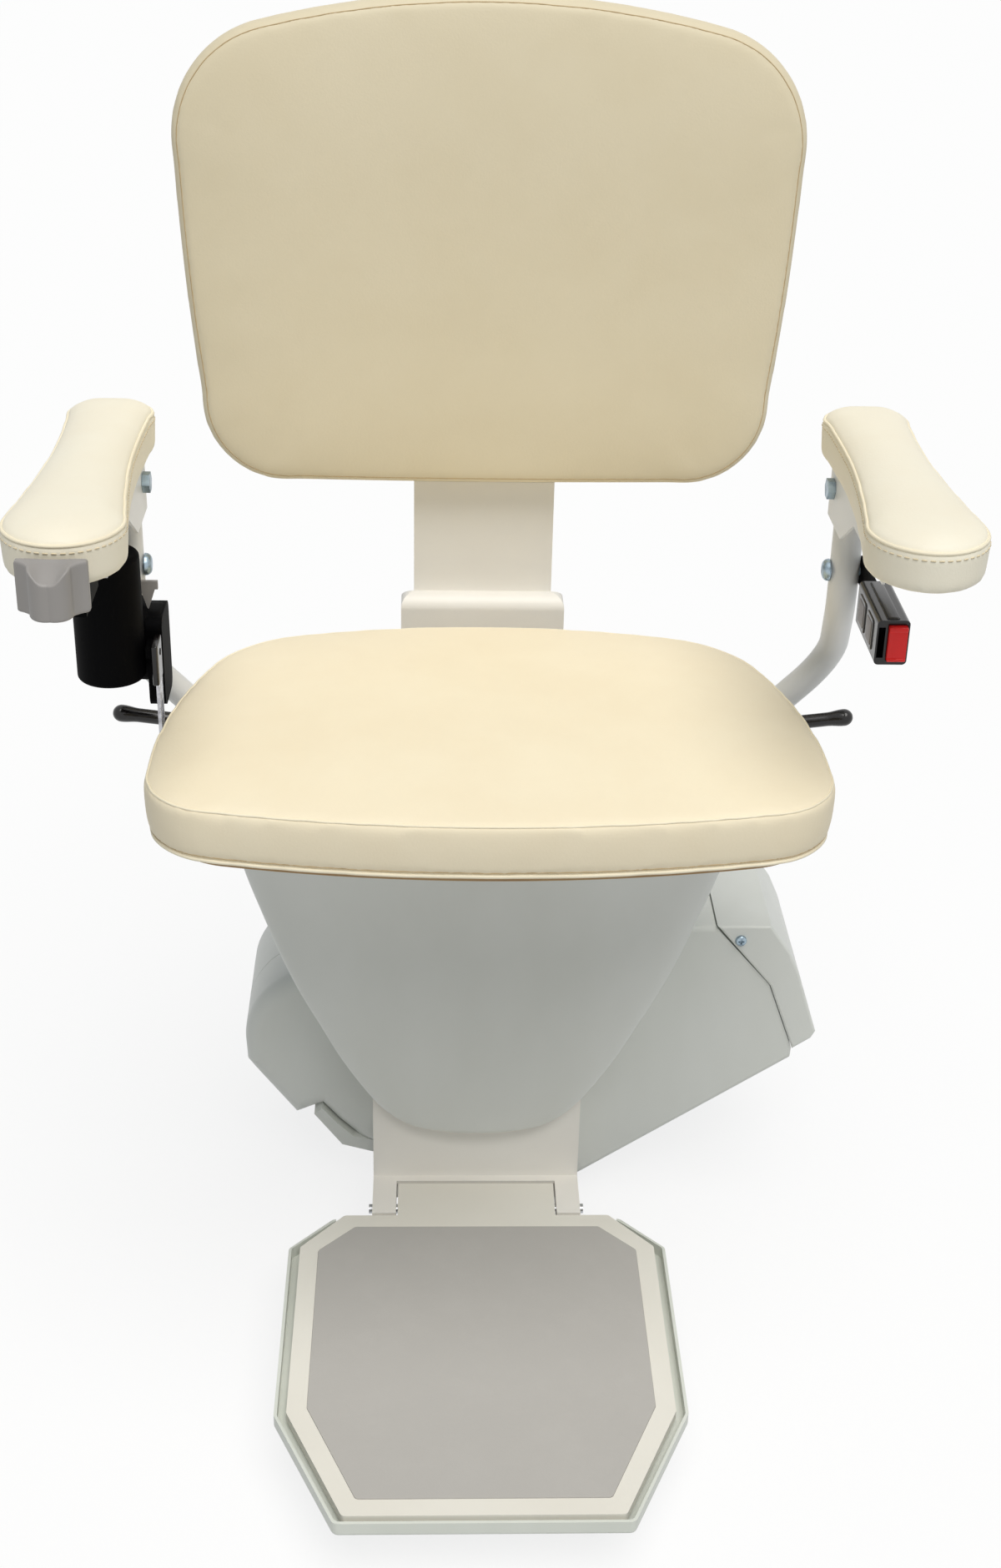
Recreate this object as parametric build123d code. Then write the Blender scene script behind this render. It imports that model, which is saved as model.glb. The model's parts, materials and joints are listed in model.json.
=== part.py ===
from build123d import *
import math
import os

# Stairlift chair: the carriage that rides on a slanted rail, the footrest and the swivelling seat.
# Lengths are in millimetres. +X is the viewer's right, +Y goes back to the wall and +Z is up.
# The origin is the centre of the rail channel, which rises towards +X at rail_angle. Along the rail
# a place is given as s, and square to it, upwards, as w. Each sub-part is written to parts/NODE.step.

# ---------------------------------------------------------------- driving dimensions
# Rail channel and carriage chassis
rail_angle = 35.0            # slope of the stairs
rail_height = 118.0          # rail section, square to its length
rail_thickness = 60.0        # rail section, front to back
chassis_gap = 7.0            # from the rail's front face to the chassis plate
chassis_thickness = 8.0
roller_radius = 20.0
roller_clearance = 0.5       # from the roller's tread to the rail
roller_width = 50.0
axle_radius = 6.0
running_clearance = 0.05     # radial, for a shaft that turns in its hole
axle_head_radius = 9.5
axle_head_thickness = 2.0
upper_roller_s = (-82.0, 170.0)
lower_roller_s = (60.0, 235.0)
pinion_s = 150.0
pinion_teeth = 12
pinion_tooth_height = 5.0
pinion_width = 26.0

# Carriage covers
cover_wall = 3.0
carriage_top_z = 202.0
cover_front_y = -165.0
fit_gap = 0.3                # between pieces that seat on each other but don't touch
cover_seam = 0.6             # open line between two covers
nose_seam_y = -110.0
nose_top = (-168.0, 142.0)            # X and Z of the nose's outline, from the top down
nose_shoulder = (-190.0, 118.0)
nose_side = ((-199.0, 84.0), (-198.0, 62.0), (-189.0, 49.0), (-157.0, 5.0))
nose_low = ((-134.0, 15.0), (-120.0, -2.0), (-106.0, -16.0))
nose_foot_z = -20.0
cap_side = ((264.0, 178.0), (273.0, 158.0), (292.5, 98.0), (289.0, 91.0))
cap_top_x = 246.0
panel_under = ((62.0, -83.5), (-40.0, -60.5), (-88.3, -33.5), (-117.0, -25.0), (-141.0, 8.0))
panel_over = ((-88.3, -30.0), (-40.0, -57.0), (60.0, -80.0))
panel_end_z = (-62.0, -66.0)
upper_seam = ((200.0, carriage_top_z), (249.0, 145.0), (273.0, 80.0))   # casing to end cap, X and Z
casing_low_w = -101.0        # the casing's lower edge, square to the rail
casing_low_s = (43.0, 262.0)
front_edge_round = 14.0      # the nose
casing_edge_round = 5.0
cap_edge_round = 2.2
cap_step = 2.5               # the end cap stands proud of the main casing by this
screw_head_radius = 4.8
screw_head_height = 2.6
cap_screw_radius = 2.5
cap_screw_place = (221.0, 191.0)

# Column, shroud and swivel
column_half_width = 88.0
column_front_y = -214.0
column_sheet = 4.0
column_foot_z = -44.0
ledge_z = -20.0
ledge_depth = 7.5              # of the lip across the column's foot
shroud_wall = 3.0
shroud_rear_y = -168.0
shroud_top_z = 339.0
shroud_levels = (             # height, half width, side edge's Y, front's Y
    (38.0, 36.0, -222.0, -232.0), (46.0, 56.0, -223.0, -233.0), (58.0, 71.0, -225.0, -235.0),
    (80.0, 88.7, -228.0, -239.0), (118.0, 110.0, -233.0, -246.0), (155.0, 127.0, -237.0, -253.0),
    (191.0, 143.0, -241.0, -261.0), (230.0, 157.0, -246.0, -270.0), (268.0, 168.0, -252.0, -281.0),
    (305.0, 178.0, -259.0, -294.0), (shroud_top_z, 185.0, -266.0, -308.0))
swivel_y = -250.0
swivel_disc_radius = 50.0
swivel_disc_thickness = 10.0
bearing_height = 6.0
bearing_gap = 0.3
upper_plate_thickness = 8.0
upper_plate_radius = 58.0
detent_radius = 43.0         # from the swivel's axis to the lock pawl
detent_depth = 7.0
bearing_radius = 35.0
swivel_spigot_radius = 12.0
detent_angles = (0.0, 45.0, 67.5, 90.0, -45.0, -67.5, -90.0)

# Footrest
footrest_top_z = -20.0
platform_half_width = 146.0
platform_rear_y = -267.0
platform_front_y = -592.5
platform_rear_half = 111.0
platform_front_half = 101.0
platform_side_rear_y = -307.0
platform_side_front_y = -493.0
platform_thickness = 8.0
mat_margin = 15.0
mat_thickness = 2.0
mat_recess = 1.5
pan_wall = 2.4
pan_half_width = 155.5
pan_front_y = -597.5
pan_front_half = 107.0
pan_rear_half = 120.5
pan_rear_y = -269.0
pan_rim_drop = 2.5           # rim below the footrest's top
pan_depth = 13.0
pan_travel = 4.0
pan_edge_round = 3.5
pan_screw_radius = 3.0
pan_screw_places = ((-100.0, -330.0), (100.0, -330.0), (-90.0, -520.0), (90.0, -520.0))
hinge_arm_inner = 68.0
hinge_arm_outer = 88.0
hinge_pin_y = -250.0
hinge_pin_z = -27.0
hinge_pin_radius = 4.0
tongue_half = 66.5
tongue_rear_y = -225.0

# Seat
seat_half_width = 232.0
seat_front_y = -487.0
seat_plan = ((190.0, -467.0), (221.0, -447.0), (-408.0, -322.0), (205.0, -245.0), (186.0, -212.0), (150.0, -187.0))
seat_rear_y = -166.0
seat_top_z = 486.0
seat_seam_z = 477.0
seat_bottom_z = 441.0
seat_skirt = 6.5               # the cushion's rim hangs this far down round the board
seat_board_thickness = 12.0
seat_board_inset = 14.0
seat_hinge_y = -203.0
seat_hinge_drop = 8.0        # hinge pin below the seat board
seat_hinge_half = 103.0
seat_pin_radius = 4.0
frame_plate_thickness = 8.0
frame_half_width = 120.0
frame_rail_height = 43.7
frame_rest_length = 20.0
arm_wing_half = 172.0
arm_wing_y = (-218.0, -184.0)
frame_rail_sheet = 4.0
frame_front_y = -345.0

# Backrest and its post
back_lean = 3.0
back_rear_y = -112.0
back_bottom_z = 586.0
back_height = 346.0
back_half_width = 226.5
back_plan = ((145.0, 1.0), (195.0, 18.0), (213.0, 64.0), (222.0, 150.0), 232.0, (211.0, 296.0), (165.0, 326.0))
back_cushion_thickness = 40.0
back_board_thickness = 10.0
back_board_inset = 12.0
post_half_width = 54.5
post_depth = 26.0
post_wall = 3.0
post_front_y = -111.0
post_overlap = 210.0         # how far the post runs up behind the back board
post_cover_half = 64.5
post_cover_top_z = 485.0
post_cover_front_y = -128.0
post_cover_rear_y = -72.0
post_cover_wall = 3.0
post_cover_fall = 33.0         # from its front edge down to its rear edge

# Arms
arm_tube_radius = 10.65
arm_tube_wall = 2.0
arm_tube_x = 254.0
arm_tube_foot_y = -201.0
arm_tube_foot_x = (146.0, 177.0)
arm_bend_low = (263.0, -213.0, 474.0)
arm_bend_high_z = 541.0
arm_bend_radii = (20.0, 60.0, 40.0)
arm_tube_over_pivot = 6.5
arm_pivot_y = -270.0
arm_pivot_z = 629.0
anchor_bolt_z = 568.0
arm_pad_x = 264.0
arm_pad_front_half = 38.0
arm_pad_waist_half = 27.5
arm_pad_rear_half = 29.0
arm_pad_front_y = -496.0
arm_pad_rear_y = -221.0
arm_pad_over_pivot = 13.0    # the pad's underside above the pivot
arm_pad_thickness = 36.5
bracket_sheet = 2.0
bracket_side_gap = 0.3
bracket_front_y = -446.0
bracket_front_depth = 12.0
bracket_depth = 37.0
bolt_radius = 4.0
bolt_head_radius = 7.5
bolt_head_thickness = 5.3
nut_thickness = 6.5
dome_radius = 8.0
dome_height = 5.0

# Travel toggle under the left arm pad
toggle_half_width = 21.5
toggle_height = 32.5
toggle_over_pad = 23.5       # its top above the pad's underside
toggle_rear_y = -502.0
toggle_depth = 6.0
toggle_nose = 15.0
toggle_scoop_radius = 9.0
toggle_scoop_depth = 8.0     # at the nose's tip
toggle_pivot_y = -488.0
toggle_pin_radius = 3.0

# Belt reel on the left, buckle on the right
reel_x = -265.0
reel_y = -310.0
reel_radius = 24.0
reel_wall = 2.0
reel_bottom_z = 500.0
reel_top_z = 592.0
ear_y = -283.5                 # the reel bracket's ear, between drum and arm tube
ear_corners = ((-247.0, 561.0), (-233.0, 561.0), (-240.5, 539.0))
ear_thickness = 3.0
spool_radius = 17.0
spool_shaft_radius = 4.0
lobe_inner_x = -229.8
lobe_front_y = -300.0
lobe_rear_y = -258.0
lobe_bottom_z = 470.0
lobe_top_z = 538.0
tongue_plate_x = -231.8
tongue_pin_y = -313.0
tongue_pin_z = 520.0
tongue_pin_radius = 2.5
tongue_plate_thickness = 2.4
tongue_plate_width = 22.0
tongue_grip_length = 27.0
tongue_blade_length = 44.0
buckle_x = 265.5
buckle_width = 22.0
buckle_height = 32.0
buckle_rear_y = -322.0
buckle_front_y = -390.0
buckle_top_z = 581.0
buckle_wall = 1.6
button_width = 12.5
button_height = 25.0
button_proud = 3.0
button_travel = 4.0
button_clearance = 0.4
slot_height = 22.0
slot_width = 4.6
slot_depth = 26.0
slot_wall = 1.2

# Swivel lever and lock pawl
lever_y = -222.0
lever_z = 400.0
lever_radius = 4.5
lever_half = 205.0
lever_elbow = (222.0, -236.0, 427.5)
lever_tip = (272.0, -244.0, 438.0)
lever_throw = 20.0           # from pawl in its notch to pawl clear, in degrees
grip_radius = 5.6
grip_length = 48.0
pawl_width = 8.0
pawl_depth = 8.0
pawl_engagement = 6.0        # how deep the pawl goes into its notch
pawl_clearance = 0.4
pawl_swing = 31.0            # slot length for the pawl's swing
pawl_hub_radius = 9.0
spring_wire = 1.6
spring_radius = 6.5
spring_turns = 4
spring_pitch = 2.3
spring_x = 12.0

# ---------------------------------------------------------------- worked-out places
cos_rail = math.cos(math.radians(rail_angle))
sin_rail = math.sin(math.radians(rail_angle))
rail_half = rail_height / 2
roller_w = rail_half + roller_clearance + roller_radius
chassis_front_y = -rail_thickness / 2 - chassis_gap - chassis_thickness
chassis_back_y = chassis_front_y + chassis_thickness
cover_rear_y = chassis_back_y - fit_gap
cover_side = column_half_width + fit_gap
roller_front_y = -roller_width / 2
roller_back_y = roller_width / 2
swivel_base_z = shroud_top_z - shroud_wall
swivel_disc_top_z = swivel_base_z + swivel_disc_thickness
upper_plate_z = swivel_disc_top_z + bearing_height + bearing_gap
frame_z = upper_plate_z + upper_plate_thickness
frame_top_z = frame_z + frame_plate_thickness
seat_board_z = seat_bottom_z - seat_board_thickness
seat_hinge_z = seat_board_z - seat_hinge_drop
arm_tube_foot_z = frame_top_z + arm_tube_radius
platform_bottom_z = footrest_top_z - platform_thickness
pan_top_z = footrest_top_z - pan_rim_drop
pan_bottom_z = pan_top_z - pan_depth
wall_inner_x = arm_tube_x - arm_tube_radius - bracket_side_gap
wall_outer_x = arm_tube_x + arm_tube_radius + bracket_side_gap
arm_pad_bottom_z = arm_pivot_z + arm_pad_over_pivot
arm_pad_top_z = arm_pad_bottom_z + arm_pad_thickness
bracket_bottom_z = arm_pad_bottom_z - bracket_depth
toggle_top_z = arm_pad_bottom_z + toggle_over_pad

PARTS = {}


# ---------------------------------------------------------------- helpers
def keep(name, *shapes):
    """Store a sub-part: one solid, or several separate solids that share a node."""
    PARTS[name] = shapes[0] if len(shapes) == 1 else Compound(children=list(shapes))


def block(x0, x1, y0, y1, z0, z1):
    """A box between two corners."""
    centre = Pos((x0 + x1) / 2, (y0 + y1) / 2, (z0 + z1) / 2)
    return centre * Box(abs(x1 - x0), abs(y1 - y0), abs(z1 - z0))


def rod(start, end, radius):
    """A round bar from one point to another."""
    axis = Vector(*end) - Vector(*start)
    plane = Plane(origin=start, z_dir=axis)
    return plane * extrude(Circle(radius), amount=axis.length)


def on_rail(s, w):
    """The X and Z of a place given along and square to the rail."""
    return (s * cos_rail - w * sin_rail, s * sin_rail + w * cos_rail)


def front_plane(y):
    """An upright plane at one depth, seen from the front: local x is X and local y is Z."""
    return Plane(origin=(0, y, 0), x_dir=(1, 0, 0), z_dir=(0, -1, 0))


def rail_plane(y):
    """The same upright plane turned to the rail: local x is s and local y is w."""
    return Plane(origin=(0, y, 0), x_dir=(cos_rail, 0, sin_rail), z_dir=(0, -1, 0))


def outline(segments, centre=(0.0, 0.0), scale=(1.0, 1.0)):
    """A closed face from (start, mid) pairs: an arc through mid, or a line where mid is None."""
    def place(point):
        return (centre[0] + (point[0] - centre[0]) * scale[0], centre[1] + (point[1] - centre[1]) * scale[1])

    edges = []
    for index, (start, mid) in enumerate(segments):
        end = segments[(index + 1) % len(segments)][0]
        if mid is None:
            edges.append(Line(place(start), place(end)))
        else:
            edges.append(ThreePointArc(place(start), place(mid), place(end)))
    return make_face(Wire(edges))


def prism(face, depth, plane):
    """A face drawn on a plane, made solid along the plane's normal."""
    return plane * extrude(face, amount=depth, dir=(0, 0, 1))


def slab(face, y_rear, depth, plane=front_plane):
    """A face drawn on an upright plane, made solid towards the front by its depth."""
    return prism(face, depth, plane(y_rear))


def facing_up(sketch):
    """The face of a flat sketch, turned so that its normal is +Z."""
    face = sketch.face()
    return face if face.normal_at().Z > 0 else -face


def drawn_in(face, inset):
    """The same face with its border moved inwards."""
    return offset(face, amount=-inset)


def side_plane(x):
    """An upright plane at one X, seen from the right: local x is Y and local y is Z."""
    return Plane(origin=(x, 0, 0), x_dir=(0, 1, 0), z_dir=(1, 0, 0))


def cushion(segments, centre, half_size, levels, plane_at):
    """A padded form: the same outline at several levels, each drawn in by its own inset."""
    faces = []
    for height, inset in levels:
        scale = (1 - inset / half_size[0], 1 - inset / half_size[1])
        faces.append(plane_at(height) * outline(segments, centre, scale))
    return loft(faces, ruled=True)


def level_plane(z):
    """A flat plane at one height."""
    return Plane.XY.offset(z)


# ---------------------------------------------------------------- chassis, rollers and drive
def roller_places():
    """Each roller's name and its X and Z."""
    names = ("roller_top_low", "roller_top_high")
    places = [(name, on_rail(s, roller_w)) for name, s in zip(names, upper_roller_s)]
    names = ("roller_bottom_low", "roller_bottom_high")
    places += [(name, on_rail(s, -roller_w)) for name, s in zip(names, lower_roller_s)]
    return places


def make_chassis():
    """The steel plate that carries everything, with a hole for each axle."""
    plate = slab(drawn_in(carriage_face(), cover_wall + fit_gap), chassis_back_y, chassis_thickness)
    for _, (x, z) in roller_places():
        plate -= rod((x, chassis_front_y - 1, z), (x, chassis_back_y + 1, z), axle_radius)
    x, z = on_rail(pinion_s, -roller_w)
    plate -= rod((x, chassis_front_y - 1, z), (x, chassis_back_y + 1, z), axle_radius + 4)
    keep("chassis_plate", plate)


def make_rollers():
    """Four flanged axles in the chassis and a roller on each."""
    axles = []
    for name, (x, z) in roller_places():
        head_y = roller_back_y + running_clearance * 4
        axle = rod((x, chassis_front_y, z), (x, head_y, z), axle_radius)
        axle += rod((x, head_y, z), (x, head_y + axle_head_thickness, z), axle_head_radius)
        axle += rod((x, chassis_back_y, z), (x, roller_front_y - running_clearance * 4, z), axle_head_radius)
        axles.append(axle)
        tread = rod((x, roller_front_y, z), (x, roller_back_y, z), roller_radius)
        hub = rod((x, roller_front_y, z), (x, roller_front_y + 6, z), roller_radius - 6)
        tread -= hub - rod((x, roller_front_y, z), (x, roller_front_y + 6, z), axle_radius + 4)
        tread -= rod((x, roller_front_y - 1, z), (x, roller_back_y + 1, z), axle_radius + running_clearance)
        keep(name, tread)
    keep("roller_axles", *axles)


def make_drive():
    """Worm gearbox on the chassis, its motor above, and the pinion that climbs the rack."""
    gearbox = slab(Pos(pinion_s, -60) * RectangleRounded(100, 72, 8), chassis_front_y, 54, rail_plane)
    x, z = on_rail(pinion_s, -roller_w)
    shaft = rod((x, chassis_front_y, z), (x, pinion_width / 2, z), axle_radius)
    gearbox -= rod((x, chassis_front_y - 30, z), (x, chassis_front_y + 1, z), axle_radius + running_clearance)
    shaft += rod((x, chassis_front_y - 29, z), (x, chassis_front_y, z), axle_radius)
    root = roller_radius - pinion_tooth_height
    teeth = Circle(root)
    for index in range(pinion_teeth):
        tooth = Polygon((root - 2, -3.6), (roller_radius, -1.7), (roller_radius, 1.7), (root - 2, 3.6), align=None)
        teeth += Rot(0, 0, 360 / pinion_teeth * index) * tooth
    wheel = slab(Pos(x, z) * teeth, pinion_width / 2, pinion_width)
    keep("gearbox_housing", gearbox)
    keep("drive_pinion", shaft + wheel)

    motor_radius, motor_w, motor_y = 36.0, 12.5, -106.0
    start_x, start_z = on_rail(148, motor_w)
    end_x, end_z = on_rail(252, motor_w)
    neck_x, neck_z = on_rail(240, motor_w)
    motor = rod((start_x, motor_y, start_z), (neck_x, motor_y, neck_z), motor_radius)
    motor += rod((neck_x, motor_y, neck_z), (end_x, motor_y, end_z), motor_radius - 8)
    foot = slab(Pos(190, 0) * Rectangle(60, 48), chassis_front_y, chassis_front_y - motor_y, rail_plane)
    keep("drive_motor", motor + foot)


def make_electrics():
    """Two batteries between the column's flanges, the control board and the charging shoes."""
    length, depth, height = 151.0, 65.0, 94.0
    shelf_z = 60.0
    rear_y = -78.0
    for name, back in (("battery_rear", rear_y), ("battery_front", rear_y - depth - 1)):
        case = block(-length / 2, length / 2, back - depth, back, shelf_z, shelf_z + height)
        case = fillet(case.edges().filter_by(Axis.Z), 3)
        for side in (-1, 1):
            case += block(side * 60 - 3, side * 60 + 3, back - 12, back - 4, shelf_z + height, shelf_z + height + 6)
        keep(name, case)
    board = block(-170, -98, -62, -60.4, 44, 116)
    for x in (-165, -103):
        for z in (54, 110):
            board += rod((x, -60.4, z), (x, chassis_front_y, z), 3)
    board += block(-158, -134, -88, -62, 62, 100)
    board += block(-128, -108, -78, -62, 50, 108)
    keep("control_board", board)
    shoes = []
    for s in (-40, 0):
        x, z = on_rail(s, 0)
        shoes.append(block(x - 8, x + 8, chassis_back_y, -rail_thickness / 2 - 0.5, z - 8, z + 8))
    keep("charge_contacts", *shoes)


# ---------------------------------------------------------------- carriage covers
def nose_face():
    """The lower end's outline, rounded at the top and cut away below towards the stairs."""
    segments = [
        ((-cover_side, carriage_top_z), None),
        (nose_top, nose_shoulder),
        *[(point, None) for point in nose_side + nose_low],
        ((-cover_side, nose_foot_z), None),
    ]
    return outline(segments)


def casing_face():
    """The main casing's front outline, its lower edge parallel to the rail."""
    low_left = on_rail(casing_low_s[0], casing_low_w)
    low_right = on_rail(casing_low_s[1], casing_low_w)
    low_z = low_left[1] + (cover_side - low_left[0]) * sin_rail / cos_rail
    return Polygon((cover_side, carriage_top_z), *upper_seam, low_right, (cover_side, low_z), align=None)


def cap_face():
    """The upper end cap's front outline, standing beyond the main casing's slanted seam."""
    seam = [(x + cover_seam, z) for x, z in upper_seam]
    top = carriage_top_z + cap_step
    return Polygon((seam[0][0], top), (cap_top_x, top), *cap_side, seam[2], seam[1], align=None)


def carriage_face():
    """The whole carriage seen from the front: nose, casing, cap and what lies behind the column."""
    middle = Polygon((-cover_side, carriage_top_z), (cover_side, carriage_top_z), (cover_side, panel_end_z[0] + 1),
                     panel_over[2], panel_over[1], (-cover_side, nose_foot_z), align=None)
    cap = Pos(-cover_seam, -cap_step) * cap_face()
    faces = [nose_face(), middle, casing_face(), cap]
    return (Sketch() + [facing_up(face) for face in faces]).face()


def shell(face, front, rear, edge_round, rounded):
    """A cover open at the back: the outline made solid, less the same form one wall smaller.

    Where two covers meet, their inner walls are notched for the chassis plate that runs through.
    """
    outer = slab(face, rear, rear - front)
    outer = fillet(outer.faces().sort_by(Axis.Y)[0].edges().filter_by(rounded), edge_round)
    inner = slab(drawn_in(face, cover_wall), rear + 1, rear + 1 - front - cover_wall)
    if edge_round > 2 * cover_wall:
        inner = fillet(inner.faces().sort_by(Axis.Y)[0].edges().filter_by(rounded), edge_round - cover_wall)
    notch = slab(drawn_in(carriage_face(), cover_wall), rear + 1, rear + 1 - chassis_front_y + fit_gap)
    return outer - inner - notch


def level_or_low(edge):
    """Edges along the casing's top and its lower side."""
    centre = edge.center()
    return centre.Z > carriage_top_z - 1 or centre.Z < centre.X * sin_rail / cos_rail - rail_height


def any_edge(edge):
    """Every edge."""
    return edge.length > 0


def outer_left(edge):
    """Edges of the nose's free outline, not the one beside the column."""
    return edge.center().X < -column_half_width - 10


def make_covers():
    """The ivory covers: main casing, upper end cap, two nose shells, underside panel and screw."""
    casing = shell(casing_face(), cover_front_y, cover_rear_y, casing_edge_round, level_or_low)
    roof = block(-column_half_width, cover_side + 1, shroud_rear_y + fit_gap, cover_rear_y,
                 carriage_top_z - cover_wall, carriage_top_z)
    keep("main_casing", casing + roof)

    cap_front_y = cover_front_y - cap_step
    cap = shell(cap_face(), cap_front_y, cover_rear_y, cap_edge_round, any_edge)
    x, z = cap_screw_place
    cap -= rod((x, cap_front_y - 1, z), (x, cap_front_y + cover_wall + 1, z), cap_screw_radius)
    keep("upper_end_cap", cap)

    front = shell(nose_face(), cover_front_y, nose_seam_y - cover_seam / 2, front_edge_round, outer_left)
    keep("lower_end_cover", front)
    ring = slab(nose_face(), cover_rear_y, cover_rear_y - nose_seam_y - cover_seam / 2)
    ring -= slab(drawn_in(nose_face(), cover_wall), cover_rear_y + 1, cover_rear_y - nose_seam_y + 2)
    notch = slab(drawn_in(carriage_face(), cover_wall), cover_rear_y + 1, cover_rear_y + 1 - chassis_front_y + fit_gap)
    keep("lower_end_rear_cover", ring - notch)

    gap = cover_seam
    first, *others = nose_low
    upper = [(first[0], first[1] - gap)] + [(x - gap, z - gap) for x, z in others] + [(-cover_side, nose_foot_z - gap)]
    ends = [(cover_side - gap, z) for z in panel_end_z]
    panel = Polygon(*upper, *panel_over, *ends, *panel_under, align=None)
    panel = slab(panel, cover_rear_y, cover_rear_y - cover_front_y - 1)
    notch = slab(drawn_in(carriage_face(), cover_wall), cover_rear_y + 1, cover_rear_y + 1 - chassis_front_y + fit_gap)
    keep("underside_panel", panel - notch)

    head = rod((x, cap_front_y - screw_head_height, z), (x, cap_front_y, z), screw_head_radius)
    head = fillet(head.edges().sort_by(Axis.Y)[0], 1.6)
    head += rod((x, cap_front_y, z), (x, cap_front_y + cover_wall + 4, z), cap_screw_radius)
    for long, short in ((2.6, 0.6), (0.6, 2.6)):
        head -= block(x - long, x + long, cap_front_y - screw_head_height - 1, cap_front_y - 1.2, z - short, z + short)
    keep("cap_screw", head)


# ---------------------------------------------------------------- column and shroud
def make_column():
    """The pressed-steel column: front plate, two flanges back to the chassis, and a top plate."""
    foot = column_foot_z
    top = swivel_base_z - 8
    half = column_half_width
    front = block(-half, half, column_front_y, column_front_y + column_sheet, foot, top)
    column = front
    for side in (-1, 1):
        inner, outer = side * (half - column_sheet), side * half
        column += block(inner, outer, column_front_y, shroud_rear_y, foot, top)
        column += block(inner, outer, shroud_rear_y - 1, chassis_front_y, 0, carriage_top_z - cover_wall - 0.3)
        arm = block(side * hinge_arm_inner, side * hinge_arm_outer, hinge_pin_y - 14, column_front_y + 1,
                    hinge_pin_z - 8, ledge_z)
        column += arm
    column += block(-hinge_arm_inner - 1, hinge_arm_inner + 1, column_front_y - ledge_depth, column_front_y + 1,
                    ledge_z - 3, ledge_z)
    column += block(-half, half, shroud_rear_y - column_sheet, shroud_rear_y, foot, 0)
    column += block(-half + column_sheet, half - column_sheet, -212, -76, 56, 60)
    reach_y = swivel_y - swivel_disc_radius + 6
    column += block(-60, 60, reach_y, shroud_rear_y - 2, top, swivel_base_z)
    for x in (-50, 50):
        gusset = Polygon((column_front_y + 1, top - 90), (column_front_y + 1, top + 1), (reach_y + 4, top + 1),
                         align=None)
        column += prism(gusset, 6, side_plane(x - 3))
    column -= rod((0, swivel_y, top - 1), (0, swivel_y, swivel_base_z + 1), swivel_spigot_radius + 4)
    column -= rod((-100, hinge_pin_y, hinge_pin_z), (100, hinge_pin_y, hinge_pin_z), hinge_pin_radius)
    keep("column", column)
    pin = rod((-hinge_arm_outer - 3, hinge_pin_y, hinge_pin_z), (hinge_arm_outer + 3, hinge_pin_y, hinge_pin_z),
              hinge_pin_radius)
    keep("footrest_hinge_pin", pin)


def shroud_section(z, half_width, edge_y, front_y, wall=0.0):
    """One level of the shroud: straight sides and a front that bows out between them."""
    half = half_width - wall
    rear = shroud_rear_y + (0 if wall == 0 else 1)
    edge = edge_y + wall
    front = front_y + wall
    corner = half * 0.86
    shoulder = edge + (front - edge) * 0.5
    segments = [((-half, rear), None), ((-half, edge), (-half * 0.965, (edge + shoulder) / 2)),
                ((-corner, shoulder), (0, front)), ((corner, shoulder), (half * 0.965, (edge + shoulder) / 2)),
                ((half, edge), None), ((half, rear), None)]
    return Plane.XY.offset(z) * outline(segments)


def make_shroud():
    """The big front shroud: a bowl that narrows to a rounded lip in front of the column."""
    levels = list(shroud_levels)
    outer = loft([shroud_section(*level) for level in levels], ruled=True)
    inner_levels = [(levels[0][0] + shroud_wall,) + levels[0][1:]] + levels[1:-1]
    inner_levels += [(shroud_top_z - shroud_wall,) + levels[-1][1:]]
    inner = loft([shroud_section(*level, wall=shroud_wall) for level in inner_levels], ruled=True)
    shroud = outer - inner
    half = column_half_width + 0.3
    shroud -= block(-half, half, column_front_y - 0.3, shroud_rear_y + 2, 0, shroud_top_z - shroud_wall)
    shroud -= rod((0, swivel_y, shroud_top_z - 8), (0, swivel_y, shroud_top_z + 1), swivel_disc_radius + 1.5)
    keep("front_shroud", shroud)

    back = [(-145, carriage_top_z + 0.3), (-183, shroud_top_z - 0.5), (183, shroud_top_z - 0.5)]
    back += [(145, carriage_top_z + 0.3)]
    keep("shroud_back_panel", slab(Polygon(*back, align=None), shroud_rear_y + 3.3, 3))


# ---------------------------------------------------------------- swivel
def make_swivel():
    """Fixed disc with lock notches, bearing ring and the turning plate above it."""
    lower = rod((0, swivel_y, swivel_base_z), (0, swivel_y, swivel_disc_top_z), swivel_disc_radius)
    spigot = swivel_spigot_radius
    lower -= rod((0, swivel_y, swivel_base_z - 1), (0, swivel_y, swivel_disc_top_z + 1), spigot)
    half = pawl_width / 2 + pawl_clearance
    near = detent_radius - pawl_depth / 2 - pawl_clearance
    for angle in detent_angles:
        notch = block(-half, half, near, swivel_disc_radius + 2, swivel_disc_top_z - detent_depth,
                      swivel_disc_top_z + 1)
        lower -= Pos(0, swivel_y, 0) * Rot(0, 0, angle) * notch
    keep("swivel_lower_plate", lower)
    z0 = swivel_disc_top_z + bearing_gap
    ring = rod((0, swivel_y, z0), (0, swivel_y, upper_plate_z), bearing_radius)
    ring -= rod((0, swivel_y, z0 - 1), (0, swivel_y, upper_plate_z + 1), 22)
    keep("swivel_bearing", ring)
    upper = rod((0, swivel_y, upper_plate_z), (0, swivel_y, frame_z), upper_plate_radius)
    upper += rod((0, swivel_y, swivel_base_z + 1), (0, swivel_y, upper_plate_z), spigot - running_clearance)
    upper -= rod((0, swivel_y, swivel_base_z), (0, swivel_y, frame_z + 1), 6)
    keep("swivel_upper_plate", upper - pawl_window(upper_plate_z, frame_z))


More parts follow.
